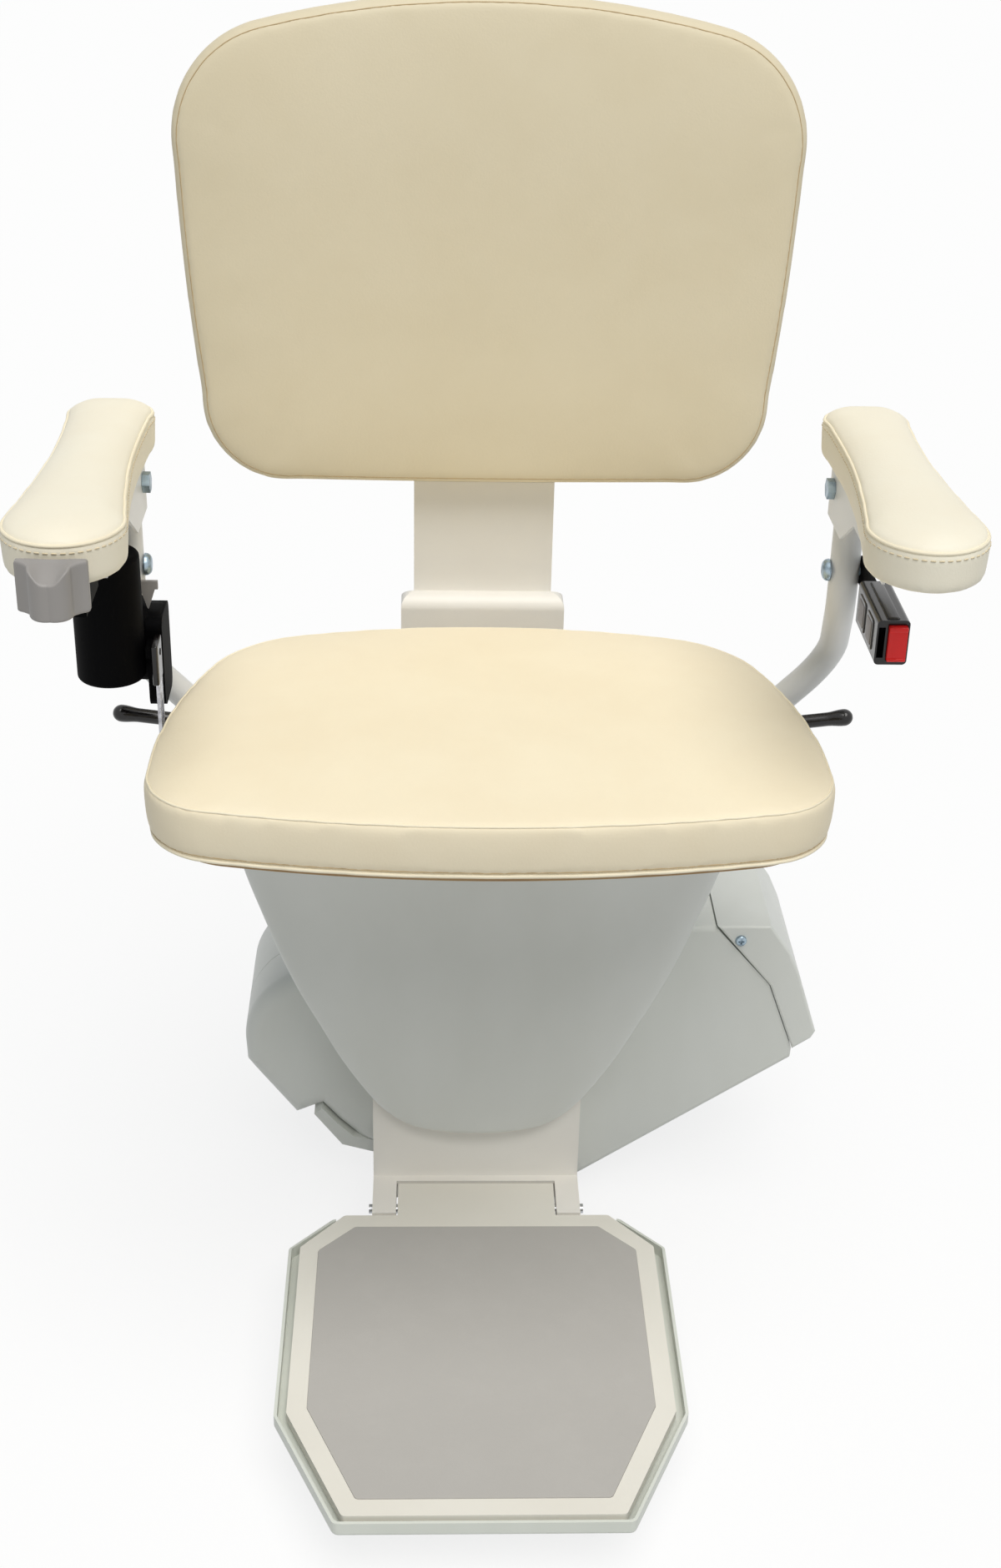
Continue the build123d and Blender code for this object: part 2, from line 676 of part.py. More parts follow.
def pawl_window(low_z, high_z):
    """The slot that the swinging lock pawl needs in a plate between two heights."""
    half = pawl_width / 2 + pawl_clearance * 2
    front_y = swivel_y + detent_radius - pawl_depth / 2 - pawl_clearance * 3
    return block(-half, half, front_y, front_y + pawl_swing, low_z - 1, high_z + 1)


def make_lever():
    """One shaft under the seat with a cranked handle at each end, and the pawl that locks the swivel."""
    tip = lever_tip
    shaft = rod((-lever_half, lever_y, lever_z), (lever_half, lever_y, lever_z), lever_radius)
    grips = []
    for side in (-1, 1):
        start = (side * lever_half, lever_y, lever_z)
        elbow = (side * lever_elbow[0], lever_elbow[1], lever_elbow[2])
        end = (side * tip[0], tip[1], tip[2])
        for near, far in ((start, elbow), (elbow, end)):
            shaft += Pos(*near) * Sphere(lever_radius)
            shaft += rod(near, far, lever_radius)
        direction = (Vector(*end) - Vector(*elbow)).normalized()
        grip_start = Vector(*end) - direction * (grip_length - 5)
        grip_end = Vector(*end) + direction * 5
        grip = rod(tuple(grip_start), tuple(grip_end), grip_radius)
        grip = fillet(grip.edges().sort_by(Axis.X)[-1 if side > 0 else 0], 2.5)
        grips.append(grip - rod(elbow, end, lever_radius))
    keep("swivel_lever", shaft)
    keep("lever_grips", *grips)

    half = pawl_width / 2
    pawl_y = swivel_y + detent_radius
    finger = block(-half, half, pawl_y - pawl_depth / 2, pawl_y + pawl_depth / 2,
                   swivel_disc_top_z - pawl_engagement, lever_z)
    hub = rod((-half, lever_y, lever_z), (half, lever_y, lever_z), pawl_hub_radius)
    web = block(-half, half, lever_y, pawl_y, lever_z - pawl_hub_radius, lever_z)
    pawl = hub + web + finger - rod((-10, lever_y, lever_z), (10, lever_y, lever_z), lever_radius)
    released = Pos(0, lever_y, lever_z) * Rot(lever_throw, 0, 0) * Pos(0, -lever_y, -lever_z)
    keep("lock_pawl", released * pawl)


def make_lever_spring():
    """Torsion spring round the lever's shaft, one leg down to the frame and one back over it."""
    length = spring_pitch * spring_turns
    coil = Helix(pitch=spring_pitch, height=length, radius=spring_radius)
    coil = Pos(spring_x, lever_y, lever_z) * Rot(0, 90, 0) * Rot(0, 0, -90) * coil
    end = coil @ 1
    drop = end.Z - (frame_top_z + fit_gap)
    leg = Line(end, end + (coil % 1) * (drop / abs((coil % 1).Z)))
    path = Wire([coil, leg])
    keep("lever_spring", sweep(Plane(origin=path @ 0, z_dir=path % 0) * Circle(spring_wire / 2), path=path))


# ---------------------------------------------------------------- footrest
def footrest_face(half, rear_half, front_half, rear_y, front_y, side_rear_y, side_front_y, radius):
    """The eight-sided footrest outline, with slightly rounded corners."""
    points = [(-rear_half, rear_y), (rear_half, rear_y), (half, side_rear_y), (half, side_front_y)]
    points += [(front_half, front_y), (-front_half, front_y), (-half, side_front_y), (-half, side_rear_y)]
    return fillet(Polygon(*points, align=None).vertices(), radius)


def platform_face(inset):
    """The platform's outline, or the mat's when it is drawn in by the border."""
    slant = inset * 0.62
    return footrest_face(platform_half_width - inset, platform_rear_half - slant, platform_front_half - slant,
                         platform_rear_y - inset, platform_front_y + inset, platform_side_rear_y - inset * 0.3,
                         platform_side_front_y + inset * 0.3, 4)


def pan_face(inset):
    """The safety pan's outline, open towards the hinge at the rear."""
    return footrest_face(pan_half_width - inset, pan_rear_half - inset * 0.5, pan_front_half - inset * 0.6,
                         pan_rear_y - inset, pan_front_y + inset, platform_side_rear_y + 1, platform_side_front_y,
                         6 - inset * 0.5)


def make_footrest():
    """Folding platform with its tongue, the mat let into it, and the sprung safety pan below."""
    top = footrest_top_z
    platform = prism(platform_face(0), platform_thickness, level_plane(platform_bottom_z))
    platform -= prism(platform_face(mat_margin), mat_recess + 1, level_plane(top - mat_recess))
    platform += block(-tongue_half, tongue_half, platform_rear_y - 2, tongue_rear_y, platform_bottom_z, top)
    knuckle = rod((-tongue_half, hinge_pin_y, hinge_pin_z), (tongue_half, hinge_pin_y, hinge_pin_z),
                  hinge_pin_radius + 2.8)
    platform += knuckle
    platform -= rod((-80, hinge_pin_y, hinge_pin_z), (80, hinge_pin_y, hinge_pin_z),
                    hinge_pin_radius + running_clearance)
    keep("footrest_platform", platform)
    mat = prism(platform_face(mat_margin + 0.2), mat_thickness, level_plane(top - mat_recess))
    keep("footrest_mat", mat)

    pan = prism(pan_face(0), pan_depth, level_plane(pan_bottom_z))
    pan = fillet(pan.edges().group_by(Axis.Z)[0], pan_edge_round)
    pan -= prism(pan_face(pan_wall), pan_depth, level_plane(pan_bottom_z + pan_wall))
    rear_gap = pan_rear_half - pan_wall
    pan -= block(-rear_gap, rear_gap, pan_rear_y - pan_wall - 6, pan_rear_y + 1, pan_bottom_z + pan_wall, pan_top_z + 1)
    screws = []
    floor_top = pan_bottom_z + pan_wall
    for x, y in pan_screw_places:
        hole = pan_screw_radius + running_clearance
        pan -= rod((x, y, pan_bottom_z - 1), (x, y, floor_top + 1), hole)
        shank = rod((x, y, pan_bottom_z - 0.2), (x, y, platform_bottom_z), pan_screw_radius)
        screws.append(shank + rod((x, y, pan_bottom_z - 2.2), (x, y, pan_bottom_z - 0.2), pan_screw_radius + 3.5))
    keep("footrest_pan", pan)
    keep("pan_screws", *screws)


# ---------------------------------------------------------------- seat frame and seat
def make_seat_frame():
    """Turning frame: base plate, side rails, hinge ears, tube clamps and a window for the lock pawl."""
    plate = block(-frame_half_width, frame_half_width, frame_front_y, -178, frame_z, frame_top_z)
    plate += block(-post_half_width - 12, post_half_width + 12, -179, post_cover_rear_y, frame_z, frame_top_z)
    plate += block(-arm_wing_half, arm_wing_half, arm_wing_y[0], arm_wing_y[1], frame_z, frame_top_z)
    rail_top = frame_top_z + frame_rail_height
    ear_radius = seat_hinge_drop - 0.5
    for side in (-1, 1):
        outer = side * frame_half_width
        inner = side * (frame_half_width - frame_rail_sheet)
        plate += block(inner, outer, frame_front_y, seat_hinge_y - 12, frame_top_z, rail_top)
        plate += block(inner, outer, frame_front_y, frame_front_y + frame_rest_length, rail_top, seat_board_z - fit_gap)
        near, far = side * (seat_hinge_half + 6.3), side * (seat_hinge_half + 10.3)
        plate += block(near, far, seat_hinge_y - 10, seat_hinge_y + 6, frame_top_z, seat_hinge_z)
        plate += rod((near, seat_hinge_y, seat_hinge_z), (far, seat_hinge_y, seat_hinge_z), ear_radius)
        clamp = block(side * 142, side * 166, arm_wing_y[0], arm_wing_y[1], frame_top_z,
                      arm_tube_foot_z + arm_tube_radius + 3)
        clamp -= rod((side * 140, arm_tube_foot_y, arm_tube_foot_z), (side * 170, arm_tube_foot_y, arm_tube_foot_z),
                     arm_tube_radius + running_clearance)
        plate += clamp
    plate -= rod((-130, seat_hinge_y, seat_hinge_z), (130, seat_hinge_y, seat_hinge_z), seat_pin_radius)
    plate -= rod((-130, lever_y, lever_z), (130, lever_y, lever_z), lever_radius + running_clearance)

    plate -= pawl_window(frame_z, frame_top_z)
    keep("seat_frame", plate)

    pins = []
    for side in (-1, 1):
        pins.append(rod((side * (seat_hinge_half - 10), seat_hinge_y, seat_hinge_z),
                        (side * (seat_hinge_half + 12), seat_hinge_y, seat_hinge_z), seat_pin_radius))
    keep("seat_hinge_pins", *pins)


def seat_segments():
    """Plan of the seat: bowed front, wide rounded front corners, sides that narrow to the rear."""
    half = seat_half_width
    front, front_corner, (wide_y, side_y), rear_side, rear_corner, rear = seat_plan
    right = [(front, front_corner), ((half, wide_y), (half - 6, side_y)), (rear_side, rear_corner)]
    left = [((-half, wide_y), (-front_corner[0], front_corner[1])), ((-front[0], front[1]), (0, seat_front_y))]
    middle = [(rear, (0, seat_rear_y)), ((-rear[0], rear[1]), (-rear_corner[0], rear_corner[1])),
              ((-rear_side[0], rear_side[1]), (-half + 6, side_y))]
    return right + middle + left


def make_seat():
    """Upholstered seat on its plywood board, with two hinge leaves beneath."""
    centre = (0, (seat_front_y + seat_rear_y) / 2)
    half_size = (seat_half_width, (seat_rear_y - seat_front_y) / 2)
    rim_z = seat_bottom_z - seat_skirt
    levels = [(rim_z, 5), (rim_z + 4, 0.8), (rim_z + 20, 2.4), (seat_seam_z, 0),
              (seat_seam_z + 3.5, 7), (seat_seam_z + 6.8, 30), (seat_top_z, 84)]
    board_plan = []
    for inset in (seat_board_inset, seat_board_inset - fit_gap):
        scale = (1 - inset / half_size[0], 1 - inset / half_size[1])
        board_plan.append(outline(seat_segments(), centre, scale))
    pocket = prism(board_plan[1], seat_skirt + 1, level_plane(rim_z - 1))
    keep("seat_cushion", cushion(seat_segments(), centre, half_size, levels, level_plane) - pocket)
    keep("seat_board", prism(board_plan[0], seat_board_thickness, level_plane(seat_board_z)))
    leaves = []
    for side in (-1, 1):
        near, far = side * (seat_hinge_half - 10), side * (seat_hinge_half + 6)
        leaf = block(near, far, seat_hinge_y - 44, seat_hinge_y + 4, seat_board_z - 3, seat_board_z)
        leaf += rod((near, seat_hinge_y, seat_hinge_z), (far, seat_hinge_y, seat_hinge_z), seat_hinge_drop)
        leaf -= rod((near - 30, seat_hinge_y, seat_hinge_z), (near + 30, seat_hinge_y, seat_hinge_z),
                    seat_pin_radius + running_clearance)
        leaves.append(leaf)
    keep("seat_hinge_leaves", *leaves)


# ---------------------------------------------------------------- backrest
def back_plane(forward):
    """A plane parallel to the leaning backrest, at a distance in front of its rear face."""
    lean = math.radians(back_lean)
    normal = Vector(0, -math.cos(lean), math.sin(lean))
    origin = Vector(0, back_rear_y, back_bottom_z) + normal * forward
    return Plane(origin=origin, x_dir=(1, 0, 0), z_dir=normal)


def back_segments():
    """Front view of the backrest: wide rounded top corners, tighter lower ones."""
    low, corner, side, flank, widest_z, shoulder, high = back_plan
    right = [(low, corner), (side, flank), ((back_half_width, widest_z), shoulder), (high, (0, back_height))]
    left = [((-high[0], high[1]), (-shoulder[0], shoulder[1])),
            ((-back_half_width, widest_z), (-flank[0], flank[1])), ((-side[0], side[1]), (-corner[0], corner[1]))]
    return [((-low[0], low[1]), (0, 0))] + right + left


def post_cover_form(wall):
    """The post cover's outer form, or its hollow when it is drawn in by the wall and open below."""
    half = post_cover_half - wall
    top = post_cover_top_z - wall
    low = frame_top_z - wall
    front, rear = post_cover_front_y + wall, post_cover_rear_y - wall
    face = outline([((-half, low), None), ((-half, top - 10), (-half + 3, top - 3)), ((-half + 10, top), None),
                    ((half - 10, top), (half - 3, top - 3)), ((half, top - 10), None), ((half, low), None)])
    side = outline([((front, low), None), ((front, top - 12), (front + 3.5, top - 3.5)), ((front + 12, top), None),
                    ((rear, top - post_cover_fall), None), ((rear, low), None)])
    return slab(face, rear, rear - front) & prism(side, 2 * half, side_plane(-half))


def make_backrest():
    """Backrest cushion, its board, the box-section post and the saddle cover at its foot."""
    centre = (0, back_height / 2)
    half_size = (back_half_width, back_height / 2)
    thick = back_cushion_thickness
    levels = [(0, 7), (5, 1), (16, 2.5), (thick - 10, 1.5), (thick - 6, 7), (thick - 2.5, 32), (thick, 84)]
    keep("backrest_cushion", cushion(back_segments(), centre, half_size, levels, back_plane))
    scale = (1 - back_board_inset / half_size[0], 1 - back_board_inset / half_size[1])
    board = prism(outline(back_segments(), centre, scale), back_board_thickness, back_plane(-back_board_thickness))
    keep("back_board", board)

    lean = math.radians(back_lean)
    top_z = back_bottom_z + post_overlap
    rear_y = post_front_y + post_depth
    profile = [(post_front_y, frame_top_z), (post_front_y, back_bottom_z - 12)]
    front_low = back_rear_y + back_board_thickness / math.cos(lean) + 0.2
    step = math.tan(lean)
    profile += [(front_low, back_bottom_z - 3), (front_low + post_overlap * step, top_z)]
    profile += [(rear_y + post_overlap * step + 9, top_z), (rear_y + 9, back_bottom_z), (rear_y, back_bottom_z - 22)]
    profile += [(rear_y, frame_top_z)]
    post = prism(Polygon(*profile, align=None), 2 * post_half_width, side_plane(-post_half_width))
    bore = block(-post_half_width + post_wall, post_half_width - post_wall, post_front_y + post_wall + 1,
                 rear_y - post_wall - 1, frame_top_z - 1, back_bottom_z - 30)
    keep("back_post", post - bore)

    hole = block(-post_half_width - fit_gap, post_half_width + fit_gap, post_front_y - fit_gap, rear_y + fit_gap,
                 frame_top_z - 1, post_cover_top_z + 1)
    keep("back_post_cover", post_cover_form(0) - post_cover_form(post_cover_wall) - hole)


# ---------------------------------------------------------------- arms
def arm_tube(side):
    """Bent steel tube from the seat frame's wing up to the arm pivot, hollow, square-cut at the top."""
    x = side * arm_tube_x
    foot_y, foot_z = arm_tube_foot_y, arm_tube_foot_z
    corners = [(side * foot_x, foot_y, foot_z) for foot_x in arm_tube_foot_x]
    corners.append((side * arm_bend_low[0], arm_bend_low[1], arm_bend_low[2]))
    corners += [(x, arm_pivot_y, arm_bend_high_z), (x, arm_pivot_y, arm_pivot_z + arm_tube_over_pivot)]
    path = FilletPolyline(*corners, radius=list(arm_bend_radii))
    section = Circle(arm_tube_radius) - Circle(arm_tube_radius - arm_tube_wall)
    tube = sweep(Plane(origin=path @ 0, z_dir=path % 0) * section, path=path)
    for z in (arm_pivot_z, anchor_bolt_z):
        tube -= rod((x - 20, arm_pivot_y, z), (x + 20, arm_pivot_y, z), bolt_radius)
    return tube


def arm_pad_segments(side):
    """Plan of an arm pad: a broad rounded front that draws in to a waist and a plain rear end."""
    x = side * arm_pad_x
    front, rear = arm_pad_front_y, arm_pad_rear_y
    wide, waist, back = arm_pad_front_half, arm_pad_waist_half, arm_pad_rear_half
    return [((x - 24, front + 9), (x, front)), ((x + 24, front + 9), (x + wide - 2, front + 26)),
            ((x + wide, front + 48), (x + (wide + waist) / 2 - 1, front + 100)),
            ((x + waist, front + 160), (x + waist, front + 196)), ((x + back, rear - 32), (x + back - 3, rear - 8)),
            ((x + back - 12, rear), None), ((x - back + 12, rear), (x - back + 3, rear - 8)),
            ((x - back, rear - 32), (x - waist, front + 196)),
            ((x - waist, front + 160), (x - (wide + waist) / 2 + 1, front + 100)),
            ((x - wide, front + 48), (x - wide + 2, front + 26))]


def arm_bracket(side):
    """Channel under the arm pad: a web that carries the pad and two walls that hold the tube."""
    rear_y = arm_pivot_y + 15
    top = arm_pad_bottom_z
    profile = [(bracket_front_y, top), (bracket_front_y, top - bracket_front_depth), (-345, top - bracket_front_depth),
               (-305, bracket_bottom_z), (rear_y, bracket_bottom_z), (rear_y, top)]
    bracket = None
    for inner, outer in ((wall_inner_x - bracket_sheet, wall_inner_x), (wall_outer_x, wall_outer_x + bracket_sheet)):
        near = inner if side > 0 else -outer
        wall = prism(Polygon(*profile, align=None), bracket_sheet, side_plane(near))
        bracket = wall if bracket is None else bracket + wall
    x0, x1 = side * (wall_inner_x - bracket_sheet), side * (wall_outer_x + bracket_sheet)
    bracket += block(x0, x1, bracket_front_y, arm_pivot_y - 15, top - bracket_sheet, top)
    bracket -= rod((x0 - side, arm_pivot_y, arm_pivot_z), (x1 + side, arm_pivot_y, arm_pivot_z),
                   bolt_radius + running_clearance)
    return bracket


def make_arms():
    """Both arms: tube, bracket, pad, and the bolts they turn on."""
    bolts = []
    anchors = []
    levels = [(arm_pad_bottom_z, 3.5), (arm_pad_bottom_z + 4, 0.6), (arm_pad_bottom_z + 14, 1.4),
              (arm_pad_top_z - 6, 0), (arm_pad_top_z - 3.4, 3), (arm_pad_top_z - 1.2, 9), (arm_pad_top_z, 18)]
    for side, name in ((-1, "left"), (1, "right")):
        keep(f"{name}_arm_tube", arm_tube(side))
        keep(f"{name}_arm_bracket", arm_bracket(side))
        centre = (side * arm_pad_x, (arm_pad_front_y + arm_pad_rear_y) / 2)
        half_size = (arm_pad_front_half, (arm_pad_rear_y - arm_pad_front_y) / 2)
        keep(f"{name}_arm_pad", cushion(arm_pad_segments(side), centre, half_size, levels, level_plane))
        x_in = side * (wall_inner_x - bracket_sheet - 0.2)
        x_out = side * (wall_outer_x + bracket_sheet + 0.2)
        y, z = arm_pivot_y, arm_pivot_z
        hexagon = prism(RegularPolygon(bolt_head_radius, 6), bolt_head_thickness,
                        Plane(origin=(x_in, y, z), x_dir=(0, 1, 0), z_dir=(-side, 0, 0)))
        nut = prism(RegularPolygon(bolt_head_radius, 6), nut_thickness,
                    Plane(origin=(x_out, y, z), x_dir=(0, 1, 0), z_dir=(side, 0, 0)))
        bolts.append(rod((x_in, y, z), (x_out + side * 2, y, z), bolt_radius) + hexagon + nut)
        face = side * (arm_tube_x - arm_tube_radius - 0.4)
        far = side * (arm_tube_x + arm_tube_radius + 4)
        dome = rod((face, y, anchor_bolt_z), (face - side * dome_height, y, anchor_bolt_z), dome_radius)
        dome = fillet(dome.edges().sort_by(Axis.X)[0 if side > 0 else -1], 4.5)
        anchors.append(dome + rod((face, y, anchor_bolt_z), (far, y, anchor_bolt_z), bolt_radius))
    keep("arm_pivot_bolts", *bolts)
    keep("anchor_bolts", *anchors)


def make_toggle():
    """Rocking travel toggle with a pointed nose, its pin, and the switch box under the pad's front."""
    x = -arm_pad_x
    half = toggle_half_width
    rear, front = toggle_rear_y, toggle_rear_y - toggle_depth
    nose = front - toggle_nose
    plan = outline([((x - half, rear), None), ((x - half, front + 2), (x - half + 8, front - 1)),
                    ((x - 13, front - 6), (x - 8, nose + 1)), ((x, nose), (x + 8, nose + 1)),
                    ((x + 13, front - 6), (x + half - 8, front - 1)), ((x + half, front + 2), None),
                    ((x + half, rear), None)])
    low = toggle_top_z - toggle_height
    knob = prism(plan, toggle_height, level_plane(low))
    knob = fillet(knob.edges().filter_by(Axis.Z), 1.5)
    lift = toggle_scoop_radius
    knob -= rod((x, rear + 2, toggle_top_z + lift + 0.5), (x, nose - 4, toggle_top_z + lift - toggle_scoop_depth - 2),
                toggle_scoop_radius)
    stem_z = low + 7
    knob += block(x - 6, x + 6, rear - 1, toggle_pivot_y, low, stem_z)
    knob += rod((x, toggle_pivot_y, low), (x, toggle_pivot_y, stem_z), 6)
    knob += rod((x, toggle_pivot_y, low - 6), (x, toggle_pivot_y, stem_z), toggle_pin_radius)
    keep("travel_toggle", knob)
    body = block(x - 17, x + 17, toggle_pivot_y - 7, bracket_front_y - fit_gap, low - 8, arm_pad_bottom_z - fit_gap)
    mouth = block(x - 13, x + 13, toggle_pivot_y - 8, toggle_pivot_y + 10, low - 0.4, stem_z + 0.4)
    body -= mouth
    body -= rod((x, toggle_pivot_y, low - 9), (x, toggle_pivot_y, stem_z), toggle_pin_radius + running_clearance)
    keep("toggle_switch_box", body)


# ---------------------------------------------------------------- seat belt
def make_reel():
    """Belt reel on the left: drum housing with its side case, bracket, spool and hanging tongue."""
    x, y = reel_x, reel_y
    housing = rod((x, y, reel_bottom_z), (x, y, reel_top_z), reel_radius)
    housing = fillet(housing.edges().filter_by(GeomType.CIRCLE), 3)
    bore = rod((x, y, reel_bottom_z + 3), (x, y, reel_top_z - 3), reel_radius - reel_wall)
    lobe = block(lobe_inner_x - 11.5, lobe_inner_x, lobe_front_y, lobe_rear_y, lobe_bottom_z, lobe_top_z)
    lobe = fillet(lobe.edges().filter_by(Axis.X), 8)
    neck = block(x + 14, lobe_inner_x - 8, lobe_front_y, arm_pivot_y - arm_tube_radius - 1, reel_bottom_z + 8,
                 lobe_top_z - 8)
    horn = rod((lobe_inner_x - 10, tongue_pin_y, tongue_pin_z), (lobe_inner_x, tongue_pin_y, tongue_pin_z),
               tongue_pin_radius)
    arm = block(lobe_inner_x - 10, lobe_inner_x - 5, tongue_pin_y - 4, lobe_front_y + 2, tongue_pin_z - 4,
                tongue_pin_z + 4)
    housing = housing + neck + lobe + arm + horn - bore
    shaft_hole = spool_shaft_radius + running_clearance
    housing -= rod((x, y, reel_bottom_z - 1), (x, y, reel_top_z + 1), shaft_hole)
    keep("belt_reel_housing", housing)
    spool = rod((x, y, reel_bottom_z + 4), (x, y, reel_top_z - 4), spool_radius)
    spool += rod((x, y, reel_bottom_z + 0.5), (x, y, reel_top_z - 0.5), spool_shaft_radius)
    keep("belt_spool", spool)

    face = -(arm_tube_x + arm_tube_radius + fit_gap)
    plate = block(face - 3, face, y + 18, arm_pivot_y + 12, anchor_bolt_z - 12, anchor_bolt_z + 12)
    plate += block(face - 8, face, y + reel_radius - 8, y + reel_radius + 1, anchor_bolt_z - 12, anchor_bolt_z + 12)
    ear_top = ear_corners[0][1]
    plate += block(face - 3, ear_corners[1][0], ear_y - ear_thickness / 2, ear_y + ear_thickness / 2, ear_top - 6,
                   ear_top)
    plate += slab(Polygon(*ear_corners, align=None), ear_y + ear_thickness / 2, ear_thickness)
    plate -= rod((x, y, anchor_bolt_z - 20), (x, y, anchor_bolt_z + 20), reel_radius)
    plate -= rod((face - 4, arm_pivot_y, anchor_bolt_z), (face + 1, arm_pivot_y, anchor_bolt_z), bolt_radius)
    keep("belt_reel_bracket", plate)

    px = tongue_plate_x
    half_t = tongue_plate_thickness / 2
    half_w = tongue_plate_width / 2
    ty, tz = tongue_pin_y, tongue_pin_z
    grip = block(px - half_t - 1, px + half_t, ty - half_w, ty + half_w - 1, tz - tongue_grip_length + 7, tz + 7)
    grip = fillet(grip.edges().filter_by(Axis.X), 4)
    blade = block(px - half_t, px + half_t, ty - half_w + 2, ty + half_w - 3,
                  tz + 7 - tongue_grip_length - tongue_blade_length, tz - tongue_grip_length + 8)
    blade = fillet(blade.edges().filter_by(Axis.X).sort_by(Axis.Z)[:2], 5)
    blade -= block(px - 3, px + 3, ty - 5, ty + 4, tz - tongue_grip_length - 26, tz - tongue_grip_length - 10)
    tongue = grip + blade
    tongue -= rod((px - 5, ty, tz), (px + 5, ty, tz), tongue_pin_radius + running_clearance)
    keep("belt_tongue", tongue)


def make_buckle():
    """Buckle on the right: black case with a slot for the tongue, a red button and a steel strap."""
    x0, x1 = buckle_x - buckle_width / 2, buckle_x + buckle_width / 2
    z1 = buckle_top_z
    z0 = z1 - buckle_height
    body = block(x0, x1, buckle_front_y, buckle_rear_y, z0, z1)
    body = fillet(body.edges().filter_by(Axis.Y), 3)
    button_x1 = x1 - buckle_wall
    button_x0 = button_x1 - button_width
    button_z0 = z0 + (buckle_height - button_height) / 2
    gap = button_clearance
    pocket_rear = buckle_front_y + 14
    body -= block(button_x0 - gap, button_x1 + gap, buckle_front_y - 1, pocket_rear, button_z0 - gap,
                  button_z0 + button_height + gap)
    slot_x0 = x0 + slot_wall
    slot_z0 = z0 + (buckle_height - slot_height) / 2
    body -= block(slot_x0, slot_x0 + slot_width, buckle_front_y - 1, buckle_front_y + slot_depth, slot_z0,
                  slot_z0 + slot_height)
    keep("buckle_body", body)
    button = block(button_x0, button_x1, buckle_front_y - button_proud, pocket_rear - button_travel - 0.5, button_z0,
                   button_z0 + button_height)
    button = fillet(button.edges().filter_by(Axis.Y), 1)
    keep("buckle_button", button)

    face = arm_tube_x + arm_tube_radius + fit_gap
    low, high = anchor_bolt_z - 10, anchor_bolt_z + 10
    strap = block(face, face + 3, buckle_rear_y, arm_pivot_y + 10, low, high)
    strap = fillet(strap.edges().filter_by(Axis.X).group_by(Axis.Y)[-1], 9)
    strap -= rod((face - 1, arm_pivot_y, anchor_bolt_z), (face + 4, arm_pivot_y, anchor_bolt_z), bolt_radius)
    keep("buckle_strap", strap)


# ---------------------------------------------------------------- build and write
def main():
    """Build every sub-part and write one STEP file for each."""
    make_chassis()
    make_rollers()
    make_drive()
    make_electrics()
    make_covers()
    make_column()
    make_shroud()
    make_swivel()
    make_lever()
    make_lever_spring()
    make_footrest()
    make_seat_frame()
    make_seat()
    make_backrest()
    make_arms()
    make_toggle()
    make_reel()
    make_buckle()
    os.makedirs("parts", exist_ok=True)
    for name, shape in PARTS.items():
        export_step(shape, f"parts/{name}.step")
    print(len(PARTS), "sub-parts written")


main()
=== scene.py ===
"""A stairlift chair, dressed for its portrait: vinyl cushions, ivory covers and a folding footrest.

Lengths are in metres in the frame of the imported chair: +X to the viewer's right, +Y back to the wall, +Z up.
Sizes in the classes below are written in millimetres and turned into metres as meshes are made.
"""

import json
import logging
import math
from dataclasses import dataclass, field
from enum import Enum
from typing import Any, Optional, Sequence

import bmesh
import bpy
import numpy as np
from mathutils import Matrix, Vector
from mathutils.bvhtree import BVHTree

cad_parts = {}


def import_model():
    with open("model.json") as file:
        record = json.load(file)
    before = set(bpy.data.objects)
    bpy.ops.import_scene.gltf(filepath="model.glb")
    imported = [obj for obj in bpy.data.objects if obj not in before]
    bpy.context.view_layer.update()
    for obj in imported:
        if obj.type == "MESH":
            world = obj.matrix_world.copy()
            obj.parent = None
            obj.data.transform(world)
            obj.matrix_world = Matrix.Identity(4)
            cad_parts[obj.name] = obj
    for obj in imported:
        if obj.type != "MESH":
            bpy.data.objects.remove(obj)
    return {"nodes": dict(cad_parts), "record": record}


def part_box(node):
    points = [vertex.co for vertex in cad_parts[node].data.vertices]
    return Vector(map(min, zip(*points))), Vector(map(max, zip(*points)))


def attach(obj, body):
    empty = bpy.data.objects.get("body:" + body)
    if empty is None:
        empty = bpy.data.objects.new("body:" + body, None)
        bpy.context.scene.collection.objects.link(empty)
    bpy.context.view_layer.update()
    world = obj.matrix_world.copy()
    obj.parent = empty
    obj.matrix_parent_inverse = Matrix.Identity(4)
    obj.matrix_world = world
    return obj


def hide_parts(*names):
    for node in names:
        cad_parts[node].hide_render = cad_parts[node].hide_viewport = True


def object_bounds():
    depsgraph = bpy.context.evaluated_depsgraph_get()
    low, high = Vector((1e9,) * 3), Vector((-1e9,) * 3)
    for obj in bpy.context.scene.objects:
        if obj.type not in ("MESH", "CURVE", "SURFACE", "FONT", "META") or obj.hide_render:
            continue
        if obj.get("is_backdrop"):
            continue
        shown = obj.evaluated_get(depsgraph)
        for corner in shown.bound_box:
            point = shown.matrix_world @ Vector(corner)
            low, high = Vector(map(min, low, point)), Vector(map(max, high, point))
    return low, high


MM = 0.001
BLOCK = 4000
TURN_START = 0.02
ARC_STEPS = 60
SPAN_STEPS = 24
WHITE = (1.0, 1.0, 1.0, 1.0)
log = logging.getLogger("stairlift")

Colour = tuple[float, float, float, float]
Points = np.ndarray


